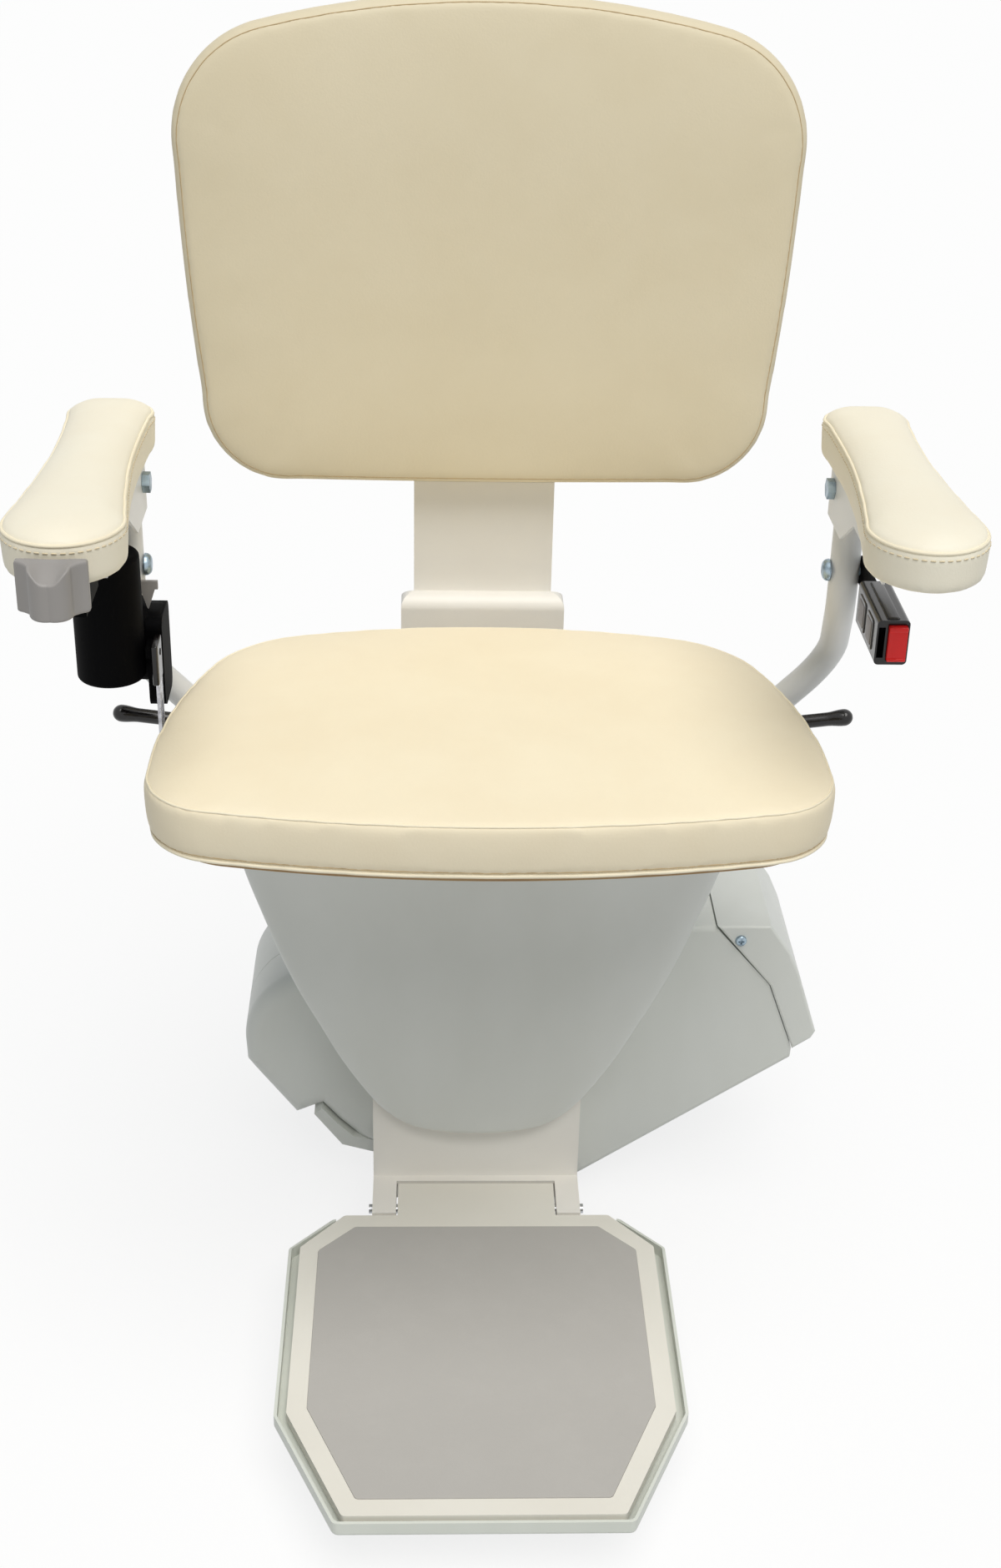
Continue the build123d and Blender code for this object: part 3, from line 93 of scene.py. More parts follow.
def srgb(red: float, green: float, blue: float) -> Colour:
    """Turns an 8-bit display colour into the linear colour that a shader takes.

    Args:
        red: Red, 0 to 255.
        green: Green, 0 to 255.
        blue: Blue, 0 to 255.

    Returns:
        The linear colour with an alpha of one.
    """
    channels = np.array([red, green, blue]) / 255.0
    linear = np.where(channels <= 0.04045, channels / 12.92, ((channels + 0.055) / 1.055) ** 2.4)
    return (float(linear[0]), float(linear[1]), float(linear[2]), 1.0)


# ---- finishes
class Value:
    """A number that flows through a material: arithmetic on it adds Math nodes."""

    def __init__(self, tree: "Tree", socket: bpy.types.NodeSocket) -> None:
        """Wraps one output socket of a tree."""
        self.tree = tree
        self.socket = socket

    def maths(self, operation: str, first: Any, second: Any) -> "Value":
        """Adds one Math node.

        Args:
            operation: The node's operation.
            first: Its first operand, a Value or a number.
            second: Its second operand.

        Returns:
            The node's result.
        """
        node = self.tree.node("ShaderNodeMath", {"operation": operation}, {0: first, 1: second})
        return Value(self.tree, node.outputs[0])

    def __add__(self, other: Any) -> "Value":
        """Sum."""
        return self.maths("ADD", self, other)

    def __radd__(self, other: Any) -> "Value":
        """Sum, reflected."""
        return self.maths("ADD", other, self)

    def __sub__(self, other: Any) -> "Value":
        """Difference."""
        return self.maths("SUBTRACT", self, other)

    def __rsub__(self, other: Any) -> "Value":
        """Difference, reflected."""
        return self.maths("SUBTRACT", other, self)

    def __mul__(self, other: Any) -> "Value":
        """Product."""
        return self.maths("MULTIPLY", self, other)

    def __rmul__(self, other: Any) -> "Value":
        """Product, reflected."""
        return self.maths("MULTIPLY", other, self)

    def above(self, level: float, softness: float) -> "Value":
        """A mask that rises from 0 to 1 across a soft step.

        Args:
            level: Where the step lies.
            softness: Half the width of the step.

        Returns:
            The mask.
        """
        sockets = {"Value": self, "From Min": level - softness, "From Max": level + softness}
        node = self.tree.node("ShaderNodeMapRange", {"interpolation_type": "SMOOTHSTEP"}, sockets)
        return Value(self.tree, node.outputs[0])


class Tree:
    """The node tree of a material or the world, emptied, and the one way in which nodes are added."""

    def __init__(self, owner: bpy.types.ID) -> None:
        """Turns the owner's nodes on and takes out those that it starts with."""
        owner.use_nodes = True
        self.nodes = owner.node_tree.nodes
        self.links = owner.node_tree.links
        self.nodes.clear()

    def node(self, kind: str, settings: Optional[dict] = None,
             sockets: Optional[dict] = None) -> bpy.types.Node:
        """Adds a node: its settings are set first, then its sockets are given values or links.

        Args:
            kind: The node's type.
            settings: Properties such as an operation or a feature.
            sockets: Values, Values or sockets, by name or index of the input.

        Returns:
            The new node.
        """
        node = self.nodes.new(kind)
        for key, setting in (settings or {}).items():
            setattr(node, key, setting)
        for key, content in (sockets or {}).items():
            self.fill(node.inputs[key], content)
        return node

    def fill(self, socket: bpy.types.NodeSocket, content: Any) -> None:
        """Links a socket to another, or sets its value.

        Args:
            socket: The input socket.
            content: A Value or a socket to link it to, or a plain number or colour.
        """
        if isinstance(content, Value):
            self.links.new(content.socket, socket)
        elif isinstance(content, bpy.types.NodeSocket):
            self.links.new(content, socket)
        else:
            socket.default_value = content


class FinishTree(Tree):
    """The node tree of one finish, with the few patterns that the finishes share."""

    def __init__(self, name: str) -> None:
        """Starts a material whose output takes one Principled shader."""
        self.material = bpy.data.materials.new(name)
        super().__init__(self.material)
        self.shader = self.node("ShaderNodeBsdfPrincipled")
        self.node("ShaderNodeOutputMaterial", {}, {"Surface": self.shader.outputs[0]})
        self.place = self.node("ShaderNodeTexCoord").outputs["Object"]

    def stretched(self, factors: tuple[float, float, float]) -> bpy.types.NodeSocket:
        """Object coordinates scaled differently along each axis."""
        node = self.node("ShaderNodeMapping", {}, {"Vector": self.place, "Scale": factors})
        return node.outputs[0]

    def noise(self, size: float, detail: float = 2.0, rough: float = 0.5, place: Any = None,
              distortion: float = 0.0) -> Value:
        """Cloudy noise.

        Args:
            size: The width of its blotches in millimetres.
            detail: How many finer octaves it holds.
            rough: How strong those octaves are.
            place: Coordinates to read, or none for the object's own.
            distortion: How far it is swirled.

        Returns:
            The noise, about 0 to 1.
        """
        sockets = {"Vector": place or self.place, "Scale": 1.0 / (size * MM), "Detail": detail,
                   "Roughness": rough, "Distortion": distortion}
        return Value(self, self.node("ShaderNodeTexNoise", {}, sockets).outputs[0])

    def cells(self, size: float, feature: str = "F1") -> Value:
        """Cell noise: the distance to the nearest of many scattered points.

        Args:
            size: The spacing of the points in millimetres.
            feature: The node's feature.

        Returns:
            The distance, about 0 to 1.
        """
        sockets = {"Vector": self.place, "Scale": 1.0 / (size * MM)}
        return Value(self, self.node("ShaderNodeTexVoronoi", {"feature": feature}, sockets).outputs[0])

    def mix(self, share: Any, first: Any, second: Any) -> bpy.types.NodeSocket:
        """Blends two colours by a share from 0 to 1: its value is the second's part."""
        node = self.node("ShaderNodeMix", {"data_type": "RGBA"}, {0: share, 6: first, 7: second})
        return node.outputs[2]

    def bands(self, direction: str, scale: float, distortion: float = 0.0) -> Value:
        """Parallel bands.

        Args:
            direction: The axis along which they change.
            scale: The node's scale to the millimetre.
            distortion: How far they are swirled.

        Returns:
            The bands, 0 to 1.
        """
        settings = {"wave_type": "BANDS", "bands_direction": direction}
        sockets = {"Vector": self.place, "Scale": scale / MM, "Distortion": distortion}
        return Value(self, self.node("ShaderNodeTexWave", settings, sockets).outputs[1])

    def finish(self, base: Any, gloss: Any, height: Value, relief: float,
               **plain: float) -> bpy.types.Material:
        """Fills the shader's sockets.

        Args:
            base: Its colour.
            gloss: Its roughness.
            height: The relief's height, about 0 to 1.
            relief: The relief's depth in millimetres.
            plain: Values of other sockets, with underscores for the spaces in their names.

        Returns:
            The material.
        """
        bump = self.node("ShaderNodeBump", {}, {"Strength": 1.0, "Distance": relief * MM, "Height": height})
        sockets = {"Base Color": base, "Roughness": gloss, "Normal": bump.outputs[0]}
        sockets.update({key.replace("_", " "): number for key, number in plain.items()})
        for key, content in sockets.items():
            self.fill(self.shader.inputs[key], content)
        return self.material


@dataclass(frozen=True)
class Vinyl:
    """Upholstery vinyl: a fine pebbled grain, faint clouds of tone, painted shade in the grain's hollows and
    slightly less rough high spots.
    """

    colour: Colour
    shade: Colour
    roughness: float = 0.46
    grain: float = 1.5
    relief: float = 0.09

    def make(self, name: str) -> bpy.types.Material:
        """Builds the material.

        Args:
            name: The material's name.

        Returns:
            The material.
        """
        tree = FinishTree(name)
        pebbles = tree.cells(self.grain, "SMOOTH_F1")
        pores = tree.noise(self.grain * 0.45, 3.0, 0.6)
        creases = tree.noise(38.0, 4.0, 0.62, distortion=0.6)
        clouds = tree.noise(85.0, 3.0, 0.55)
        tone = (clouds * 0.7 + creases * 0.3).above(0.48, 0.3)
        broad = tree.mix(tone, self.shade, self.colour)
        # painted shade: the grain's hollows are mixed towards the darker shade colour
        painted_valley_shade = tree.mix(pebbles.above(0.52, 0.3) * 0.16, broad, self.shade)
        height = pebbles * -0.7 + pores * 0.3
        gloss = self.roughness + creases * 0.12 + pebbles * 0.05
        return tree.finish(painted_valley_shade, gloss, height, self.relief, Specular_IOR_Level=0.3)


@dataclass(frozen=True)
class Moulded:
    """Moulded plastic: a spark-eroded skin, faint flow marks and a slightly uneven shine."""

    colour: Colour
    shade: Colour
    roughness: float = 0.42
    skin: float = 0.9
    relief: float = 0.035
    coat: float = 0.0
    shine: float = 0.4

    def make(self, name: str) -> bpy.types.Material:
        """Builds the material.

        Args:
            name: The material's name.

        Returns:
            The material.
        """
        tree = FinishTree(name)
        skin = tree.noise(self.skin, 2.0, 0.6)
        flow = tree.noise(60.0, 3.0, 0.5, place=tree.stretched((1.0, 1.0, 0.35)))
        scuffs = tree.noise(9.0, 5.0, 0.68, place=tree.stretched((1.0, 0.3, 1.0)))
        scuffed = scuffs.above(0.66, 0.05) * 0.35
        base = tree.mix(flow.above(0.5, 0.3), self.shade, self.colour)
        gloss = self.roughness + skin * 0.08 + scuffed * 0.25
        return tree.finish(base, gloss, skin, self.relief, Coat_Weight=self.coat,
                           Specular_IOR_Level=self.shine)


@dataclass(frozen=True)
class Powder:
    """Powder-coated steel: a soft orange-peel surface over an even tone."""

    colour: Colour
    shade: Colour
    roughness: float = 0.38
    peel: float = 2.6
    relief: float = 0.06

    def make(self, name: str) -> bpy.types.Material:
        """Builds the material.

        Args:
            name: The material's name.

        Returns:
            The material.
        """
        tree = FinishTree(name)
        peel = tree.noise(self.peel, 2.0, 0.45)
        grit = tree.noise(0.5, 1.0, 0.5)
        clouds = tree.noise(120.0, 3.0, 0.5)
        dust = tree.cells(14.0).above(0.055, 0.02)
        base = tree.mix(clouds.above(0.5, 0.3), self.shade, self.colour)
        speckled = tree.mix(1.0 - dust, base, self.shade)
        height = peel * 0.85 + grit * 0.15
        gloss = self.roughness + clouds * 0.1 + grit * 0.05
        return tree.finish(speckled, gloss, height, self.relief)


@dataclass(frozen=True)
class Metal:
    """Bare or plated metal: brushed along one axis, with cloudy tarnish and small dents."""

    colour: Colour
    tarnish: Colour
    roughness: float = 0.3
    brushing: tuple[float, float, float] = (1.0, 1.0, 1.0)
    relief: float = 0.02

    def make(self, name: str) -> bpy.types.Material:
        """Builds the material.

        Args:
            name: The material's name.

        Returns:
            The material.
        """
        tree = FinishTree(name)
        lines = tree.noise(0.6, 3.0, 0.6, place=tree.stretched(self.brushing))
        clouds = tree.noise(7.0, 4.0, 0.6)
        stain = clouds.above(0.56, 0.16)
        base = tree.mix(stain * 0.75, self.colour, self.tarnish)
        gloss = self.roughness + stain * 0.16 + lines * 0.12
        return tree.finish(base, gloss, lines, self.relief, Metallic=1.0)


@dataclass(frozen=True)
class Rubber:
    """Dull rubber with a pebbled face and paler scuffs where shoes and hands rub it."""

    colour: Colour
    scuff: Colour
    roughness: float = 0.72
    pebble: float = 2.2
    relief: float = 0.16

    def make(self, name: str) -> bpy.types.Material:
        """Builds the material.

        Args:
            name: The material's name.

        Returns:
            The material.
        """
        tree = FinishTree(name)
        pebbles = tree.cells(self.pebble, "SMOOTH_F1")
        fine = tree.noise(0.5, 2.0, 0.6)
        wear = tree.noise(46.0, 5.0, 0.66).above(0.58, 0.14) * 0.5
        base = tree.mix(wear + pebbles.above(0.5, 0.3) * 0.12, self.colour, self.scuff)
        height = pebbles * -0.8 + fine * 0.2
        gloss = self.roughness + fine * 0.1 - wear * 0.12
        return tree.finish(base, gloss, height, self.relief, Specular_IOR_Level=0.3)


@dataclass(frozen=True)
class Webbing:
    """Woven polyester webbing: ribs across the strap and threads along it."""

    colour: Colour
    thread: Colour
    rib: float = 1.4
    relief: float = 0.2

    def make(self, name: str) -> bpy.types.Material:
        """Builds the material.

        Args:
            name: The material's name.

        Returns:
            The material.
        """
        tree = FinishTree(name)
        ribs = tree.bands("DIAGONAL", 0.5 / self.rib, 0.6)
        fuzz = tree.noise(0.7, 3.0, 0.7)
        base = tree.mix(ribs * 0.6 + fuzz * 0.3, self.colour, self.thread)
        return tree.finish(base, 0.8 + fuzz * 0.1, ribs + fuzz * 0.4, self.relief)


@dataclass(frozen=True)
class Plywood:
    """Birch plywood: stretched grain on its faces and thin dark glue lines on its edges."""

    pale: Colour
    dark: Colour
    ply: float = 1.7
    relief: float = 0.08

    def make(self, name: str) -> bpy.types.Material:
        """Builds the material.

        Args:
            name: The material's name.

        Returns:
            The material.
        """
        tree = FinishTree(name)
        grain = tree.noise(5.0, 5.0, 0.6, place=tree.stretched((0.12, 1.0, 1.0)), distortion=0.4)
        plies = tree.bands("Z", 0.31 / self.ply)
        base = tree.mix(grain * 0.6 + plies.above(0.85, 0.1) * 0.5, self.pale, self.dark)
        return tree.finish(base, 0.6 + grain * 0.15, grain, self.relief)


@dataclass(frozen=True)
class Board:
    """A green circuit board with paler copper tracks under its mask."""

    mask: Colour
    track: Colour
    relief: float = 0.06

    def make(self, name: str) -> bpy.types.Material:
        """Builds the material.

        Args:
            name: The material's name.

        Returns:
            The material.
        """
        tree = FinishTree(name)
        tracks = tree.cells(7.0, "DISTANCE_TO_EDGE").above(0.06, 0.02)
        grit = tree.noise(1.5, 2.0, 0.5)
        base = tree.mix(1.0 - tracks, self.mask, self.track)
        return tree.finish(base, 0.35 + grit * 0.15, 1.0 - tracks, self.relief)


FINISHES: dict[str, Any] = {
    "cream_vinyl": Vinyl(srgb(253, 241, 213), srgb(249, 235, 205)),
    # backrest vinyl: the cream vinyl darkened, painted shade for the upright backrest
    "back_vinyl_painted_shade": Vinyl(srgb(236, 224, 195), srgb(231, 218, 187)),
    # arm pad vinyl: the cream vinyl made paler, painted light for the pads' brightly lit tops
    "pad_vinyl_painted_light": Vinyl(srgb(255, 249, 230), srgb(252, 243, 221), 0.44, 1.3),
    # piping vinyl: the cream vinyl made a little lighter, a painted highlight along the welts
    "piping_vinyl_painted_highlight": Vinyl(srgb(253, 244, 219), srgb(249, 237, 209), 0.44, 1.1, 0.04),
    "sewing_thread": Rubber(srgb(222, 207, 175), srgb(230, 216, 186), 0.8, 0.5, 0.05),
    # seam shadow: a dull brown for thin cords that paint the shadow in plain seams
    "seam_shadow": Rubber(srgb(196, 172, 132), srgb(208, 186, 148), 0.8, 0.5, 0.05),
    "ivory_plastic": Moulded(srgb(232, 234, 229), srgb(227, 229, 223), 0.36),
    "ivory_paint": Powder(srgb(241, 238, 228), srgb(236, 232, 221)),
    "post_paint": Powder(srgb(252, 249, 242), srgb(248, 244, 236)),
    "tube_paint": Powder(srgb(240, 240, 238), srgb(233, 234, 233), 0.3),
    "grey_mat": Rubber(srgb(188, 185, 180), srgb(192, 189, 184), 0.8, 1.6, 0.07),
    "pan_plastic": Moulded(srgb(228, 231, 223), srgb(220, 224, 215), 0.36),
    "grey_plastic": Moulded(srgb(161, 157, 154), srgb(151, 147, 143), 0.42),
    "black_plastic": Moulded(srgb(5, 5, 6), srgb(2, 2, 3), 0.6, 0.7, 0.04, 0.0, 0.05),
    "gloss_black": Moulded(srgb(16, 13, 13), srgb(10, 8, 9), 0.2, 0.8, 0.01, 0.2, 0.4),
    "window_plastic": Moulded(srgb(92, 80, 72), srgb(74, 62, 56), 0.3),
    "red_plastic": Moulded(srgb(250, 38, 36), srgb(240, 28, 30), 0.3),
    "black_rubber": Moulded(srgb(15, 14, 14), srgb(24, 22, 22), 0.3, 1.2, 0.04, 0.0, 0.35),
    "black_paint": Powder(srgb(26, 26, 28), srgb(16, 16, 18), 0.34),
    "black_webbing": Webbing(srgb(16, 16, 18), srgb(38, 38, 42)),
    "zinc_steel": Metal(srgb(164, 182, 194), srgb(96, 110, 120), 0.26, (1.0, 0.2, 1.0)),
    "plate_steel": Metal(srgb(176, 180, 184), srgb(158, 163, 168), 0.36, (1.0, 0.35, 1.0)),
    "bright_steel": Metal(srgb(200, 202, 205), srgb(150, 153, 158), 0.22, (0.1, 1.0, 1.0)),
    "grey_steel": Metal(srgb(128, 130, 133), srgb(92, 94, 98), 0.42, (0.15, 1.0, 1.0), 0.04),
    "chrome_steel": Metal(srgb(196, 196, 200), srgb(120, 120, 126), 0.14),
    "cast_aluminium": Metal(srgb(164, 166, 168), srgb(132, 134, 138), 0.5, (1.0, 1.0, 1.0), 0.1),
    "motor_paint": Powder(srgb(44, 45, 48), srgb(30, 31, 33), 0.4),
    "battery_case": Moulded(srgb(40, 41, 44), srgb(28, 29, 31), 0.46),
    "circuit_board": Board(srgb(18, 92, 48), srgb(70, 138, 76)),
    "copper": Metal(srgb(196, 128, 88), srgb(132, 84, 60), 0.3, (1.0, 0.3, 1.0)),
    "plywood": Plywood(srgb(206, 176, 132), srgb(150, 112, 72)),
    "roller_nylon": Moulded(srgb(206, 203, 190), srgb(190, 186, 172), 0.4),
}
NODE_FINISHES: dict[str, str] = {
    "left_arm_tube": "tube_paint", "right_arm_tube": "tube_paint", "left_arm_bracket": "tube_paint",
    "right_arm_bracket": "tube_paint", "back_post": "post_paint", "back_post_cover": "post_paint",
    # the column takes the paler post paint in place of ivory paint: painted light that makes the low column
    # brighter
    "chassis_plate": "plate_steel", "column": "post_paint", "belt_reel_bracket": "grey_plastic",
    "buckle_body": "gloss_black", "travel_toggle": "grey_plastic",
}


class Wardrobe:
    """Makes each finish once, when it is first asked for, and fits out the pieces."""

    def __init__(self) -> None:
        """Starts with nothing made."""
        self.made: dict[str, bpy.types.Material] = {}

    def dress(self, piece: bpy.types.Object, finish: str) -> None:
        """Gives a piece one material, in place of any that it has.

        Args:
            piece: The piece.
            finish: The name of its finish.
        """
        if finish not in self.made:
            self.made[finish] = FINISHES[finish].make(finish)
        if piece.material_slots:
            for holder in piece.material_slots:
                holder.material = self.made[finish]
        else:
            piece.data.materials.append(self.made[finish])

    def fit(self, piece: bpy.types.Object, finish: str, body: str, slot: str, *nodes: str) -> None:
        """Dresses a new piece, hangs it on the empty of the body that it moves with and hides the CAD nodes
        that it stands for.

        Args:
            piece: The piece.
            finish: The name of its finish.
            body: The CAD body that it moves with.
            slot: The record's material slot that it belongs to; not used.
            nodes: The CAD nodes that it stands for.
        """
        self.dress(piece, finish)
        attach(piece, body)
        if nodes:
            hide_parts(*nodes)
        log.info("%s: %d faces", piece.name, len(piece.data.polygons))


# ---- surfaces
def arc_points(start: Sequence[float], middle: Sequence[float], end: Sequence[float], count: int) -> Points:
    """Points on the circle through three places: its centre is equally far from all of them.

    Args:
        start: Where the arc begins.
        middle: A place on it.
        end: Where it ends.
        count: How many points, with the start and without the end.

    Returns:
        The points, one row each.
    """
    a, b, c = (np.array(place, float) for place in (start, middle, end))
    matrix = 2.0 * np.array([b - a, c - a])
    centre = np.linalg.solve(matrix, np.array([b @ b - a @ a, c @ c - a @ a]))
    radius = np.linalg.norm(a - centre)
    first, mid, last = (math.atan2(*(place - centre)[::-1]) for place in (a, b, c))
    turn = (last - first) % (2 * math.pi)
    if (mid - first) % (2 * math.pi) > turn:
        turn -= 2 * math.pi
    angles = first + turn * np.arange(count) / count
    return centre + radius * np.column_stack([np.cos(angles), np.sin(angles)])


def closed_outline(segments: Sequence[tuple], count: int) -> Points:
    """A closed outline from (start, mid) pairs, spaced evenly along its length.

    Each pair is an arc through mid to the next pair's start, or a line where mid is None.

    Args:
        segments: The pairs.
        count: How many points the outline gets.

    Returns:
        The points, one row each.
    """
    fine = []
    for index, (start, mid) in enumerate(segments):
        end = segments[(index + 1) % len(segments)][0]
        if mid is None:
            share = np.arange(ARC_STEPS)[:, None] / ARC_STEPS
            fine.append(np.array(start) * (1 - share) + np.array(end) * share)
        else:
            fine.append(arc_points(start, mid, end, ARC_STEPS))
    return respaced(np.vstack(fine), count, closed=True)


def respaced(points: Points, count: int, closed: bool = False) -> Points:
    """The same line with evenly spaced points.

    Args:
        points: The line.
        count: How many points it gets.
        closed: Whether it returns to its start.

    Returns:
        The new points.
    """
    line = np.vstack([points, points[:1]]) if closed else points
    along = np.concatenate([[0.0], np.cumsum(np.linalg.norm(np.diff(line, axis=0), axis=1))])
    wanted = np.linspace(0.0, along[-1], count, endpoint=not closed)
    return np.column_stack([np.interp(wanted, along, line[:, axis]) for axis in range(line.shape[1])])


def smooth_line(points: Sequence[Sequence[float]], count: int) -> Points:
    """A smooth line through a few points: a Catmull-Rom spline, with its neighbours' slope at each point.

    Args:
        points: What it passes through.
        count: How many points it gets.

    Returns:
        The line, evenly spaced.
    """
    given = np.array(points, float)
    padded = np.vstack([2 * given[0] - given[1], given, 2 * given[-1] - given[-2]])
    share = np.linspace(0.0, 1.0, SPAN_STEPS, endpoint=False)[:, None]
    spans = []
    for index in range(1, len(padded) - 2):
        before, first, second, after = padded[index - 1:index + 3]
        spans.append(0.5 * (2 * first + (second - before) * share
                            + (2 * before - 5 * first + 4 * second - after) * share ** 2
                            + (3 * first - before - 3 * second + after) * share ** 3))
    return respaced(np.vstack(spans + [given[-1:]]), count)


def unit(vectors: Points) -> Points:
    """Vectors scaled to a length of one."""
    return vectors / np.maximum(np.linalg.norm(vectors, axis=-1, keepdims=True), 1e-12)


def signed_power(wave: Points, power: float) -> Points:
    """The absolute values of a wave raised to a power, with its signs kept."""
    return np.sign(wave) * np.abs(wave) ** power


def smooth_step(share: Points) -> Points:
    """A share from 0 to 1 that starts and ends level: share squared * (3 - 2 * share)."""
    return share ** 2 * (3.0 - 2.0 * share)


def grid_faces(rows: int, columns: int, wrap_rows: bool = False) -> Points:
    """Quads between neighbouring rows of a grid of points, each row a closed ring.

    Args:
        rows: How many rows of points.
        columns: How many points in a row.
        wrap_rows: Whether the last row joins the first.

    Returns:
        Four indices a face.
    """
    row = np.arange(rows if wrap_rows else rows - 1)[:, None]
    column = np.arange(columns)[None, :]
    next_row = (row + 1) % rows
    next_column = (column + 1) % columns
    corners = [row * columns + column, row * columns + next_column, next_row * columns + next_column,
               next_row * columns + column]
    return np.stack(corners, axis=-1).reshape(-1, 4)


def shade_smooth(mesh: bpy.types.Mesh) -> None:
    """Shades every face of a mesh smooth."""
    mesh.polygons.foreach_set("use_smooth", np.full(len(mesh.polygons), True))


def make_piece(name: str, points: Points, faces: Sequence, turn_out: bool = True) -> bpy.types.Object:
    """Makes a smooth-shaded object at the origin from points in millimetres.

    Args:
        name: The object's name.
        points: Its vertices.
        faces: Its faces, as rows of indices.
        turn_out: Whether its normals are worked out again, so that they point outwards.

    Returns:
        The object, linked to the scene.
    """
    mesh = bpy.data.meshes.new(name)
    mesh.from_pydata((np.asarray(points) * MM).tolist(), [], [list(face) for face in faces])
    if turn_out:
        work = bmesh.new()
        work.from_mesh(mesh)
        bmesh.ops.recalc_face_normals(work, faces=work.faces)
        work.to_mesh(mesh)
        work.free()
    shade_smooth(mesh)
    mesh.update()
    piece = bpy.data.objects.new(name, mesh)
    bpy.context.scene.collection.objects.link(piece)
    return piece


def capped_rings(name: str, rings: Points) -> bpy.types.Object:
    """A closed form from stacked rings of points, each end closed by a fan to the ring's middle.

    Args:
        name: The object's name.
        rings: Points by ring, place in the ring and axis.

    Returns:
        The object.
    """
    count, around = rings.shape[:2]
    faces = grid_faces(count, around).tolist()
    points = np.vstack([rings.reshape(-1, 3), rings[0].mean(axis=0), rings[-1].mean(axis=0)])
    step = np.arange(around)
    following = (step + 1) % around
    low = np.column_stack([following, step, np.full(around, count * around)])
    high_start = (count - 1) * around
    high_middle = np.full(around, count * around + 1)
    high = np.column_stack([high_start + step, high_start + following, high_middle])
    return make_piece(name, points, faces + low.tolist() + high.tolist())


def ring_tube(path: Points, outward: Points, radius: float, sides: int = 10) -> tuple[Points, Points]:
    """A closed tube round a closed path: circles square to the path, started from its outward side.

    Args:
        path: Points of the closed path.
        outward: The direction away from the middle at each point.
        radius: The tube's radius.
        sides: How many points each circle has.

    Returns:
        The tube's points and faces.
    """
    tangent = unit(np.roll(path, -1, axis=0) - np.roll(path, 1, axis=0))
    side = unit(outward - (outward * tangent).sum(axis=1, keepdims=True) * tangent)
    upward = np.cross(tangent, side)
    angles = np.linspace(0.0, 2 * math.pi, sides, endpoint=False)[None, :, None]
    spokes = np.cos(angles) * side[:, None] + np.sin(angles) * upward[:, None]
    rings = path[:, None] + radius * spokes
    return rings.reshape(-1, 3), grid_faces(len(path), sides, wrap_rows=True)


def open_tube(path: Points, radii: Points, sides: int = 20) -> Points:
    """Rings of a tube along an open path that is never upright: circles square to the path.

    Args:
        path: Points of the path.
        radii: The radius at each point.
        sides: How many points each circle has.

    Returns:
        Points by ring, place in the ring and axis.
    """
    tangent = unit(np.gradient(path, axis=0))
    side = unit(np.cross(tangent, (0.0, 0.0, 1.0)))
    upward = np.cross(side, tangent)
    angles = np.linspace(0.0, 2 * math.pi, sides, endpoint=False)[None, :, None]
    wide = np.asarray(radii, float)[:, None, None]
    return path[:, None] + wide * (np.cos(angles) * side[:, None] + np.sin(angles) * upward[:, None])


def baked(piece: bpy.types.Object) -> None:
    """Replaces a piece's mesh with the one that its modifiers give, and drops the modifiers.

    Args:
        piece: The piece.
    """
    graph = bpy.context.evaluated_depsgraph_get()
    mesh = bpy.data.meshes.new_from_object(piece.evaluated_get(graph))
    piece.modifiers.clear()
    piece.data = mesh


def read_points(mesh: bpy.types.Mesh) -> Points:
    """Reads a mesh's vertices.

    Args:
        mesh: The mesh.

    Returns:
        Their places in metres, one row each.
    """
    points = np.empty(len(mesh.vertices) * 3, np.float32)
    mesh.vertices.foreach_get("co", points)
    return points.reshape(-1, 3).astype(float)


def write_points(mesh: bpy.types.Mesh, points: Points) -> None:
    """Puts vertices back into a mesh."""
    mesh.vertices.foreach_set("co", points.astype(np.float32).ravel())
    mesh.update()


def distance_to(points: Points, path: Points) -> Points:
    """How far each point lies from the nearest point of a path, worked out in blocks of points.

    Args:
        points: The points.
        path: Points of the path.

    Returns:
        One distance a point.
    """
    blocks = np.array_split(points, max(1, len(points) // BLOCK))
    apart = [np.linalg.norm(block[:, None] - path[None], axis=2).min(axis=1) for block in blocks]
    return np.concatenate(apart)


# ---- upholstery
class Seam(Enum):
    """How two panels of a cushion's cover meet."""

    PIPED = "piped"
    PLAIN = "plain"


@dataclass(frozen=True)
class Trim:
    """One sewn line round a cushion: where it lies and how it is finished."""

    name: str
    height: float
    inset: float
    seam: Seam
    radius: float
    groove: float = 1.2
    spread: float = 2.6
    stitched: bool = False
    proud: float = 0.0


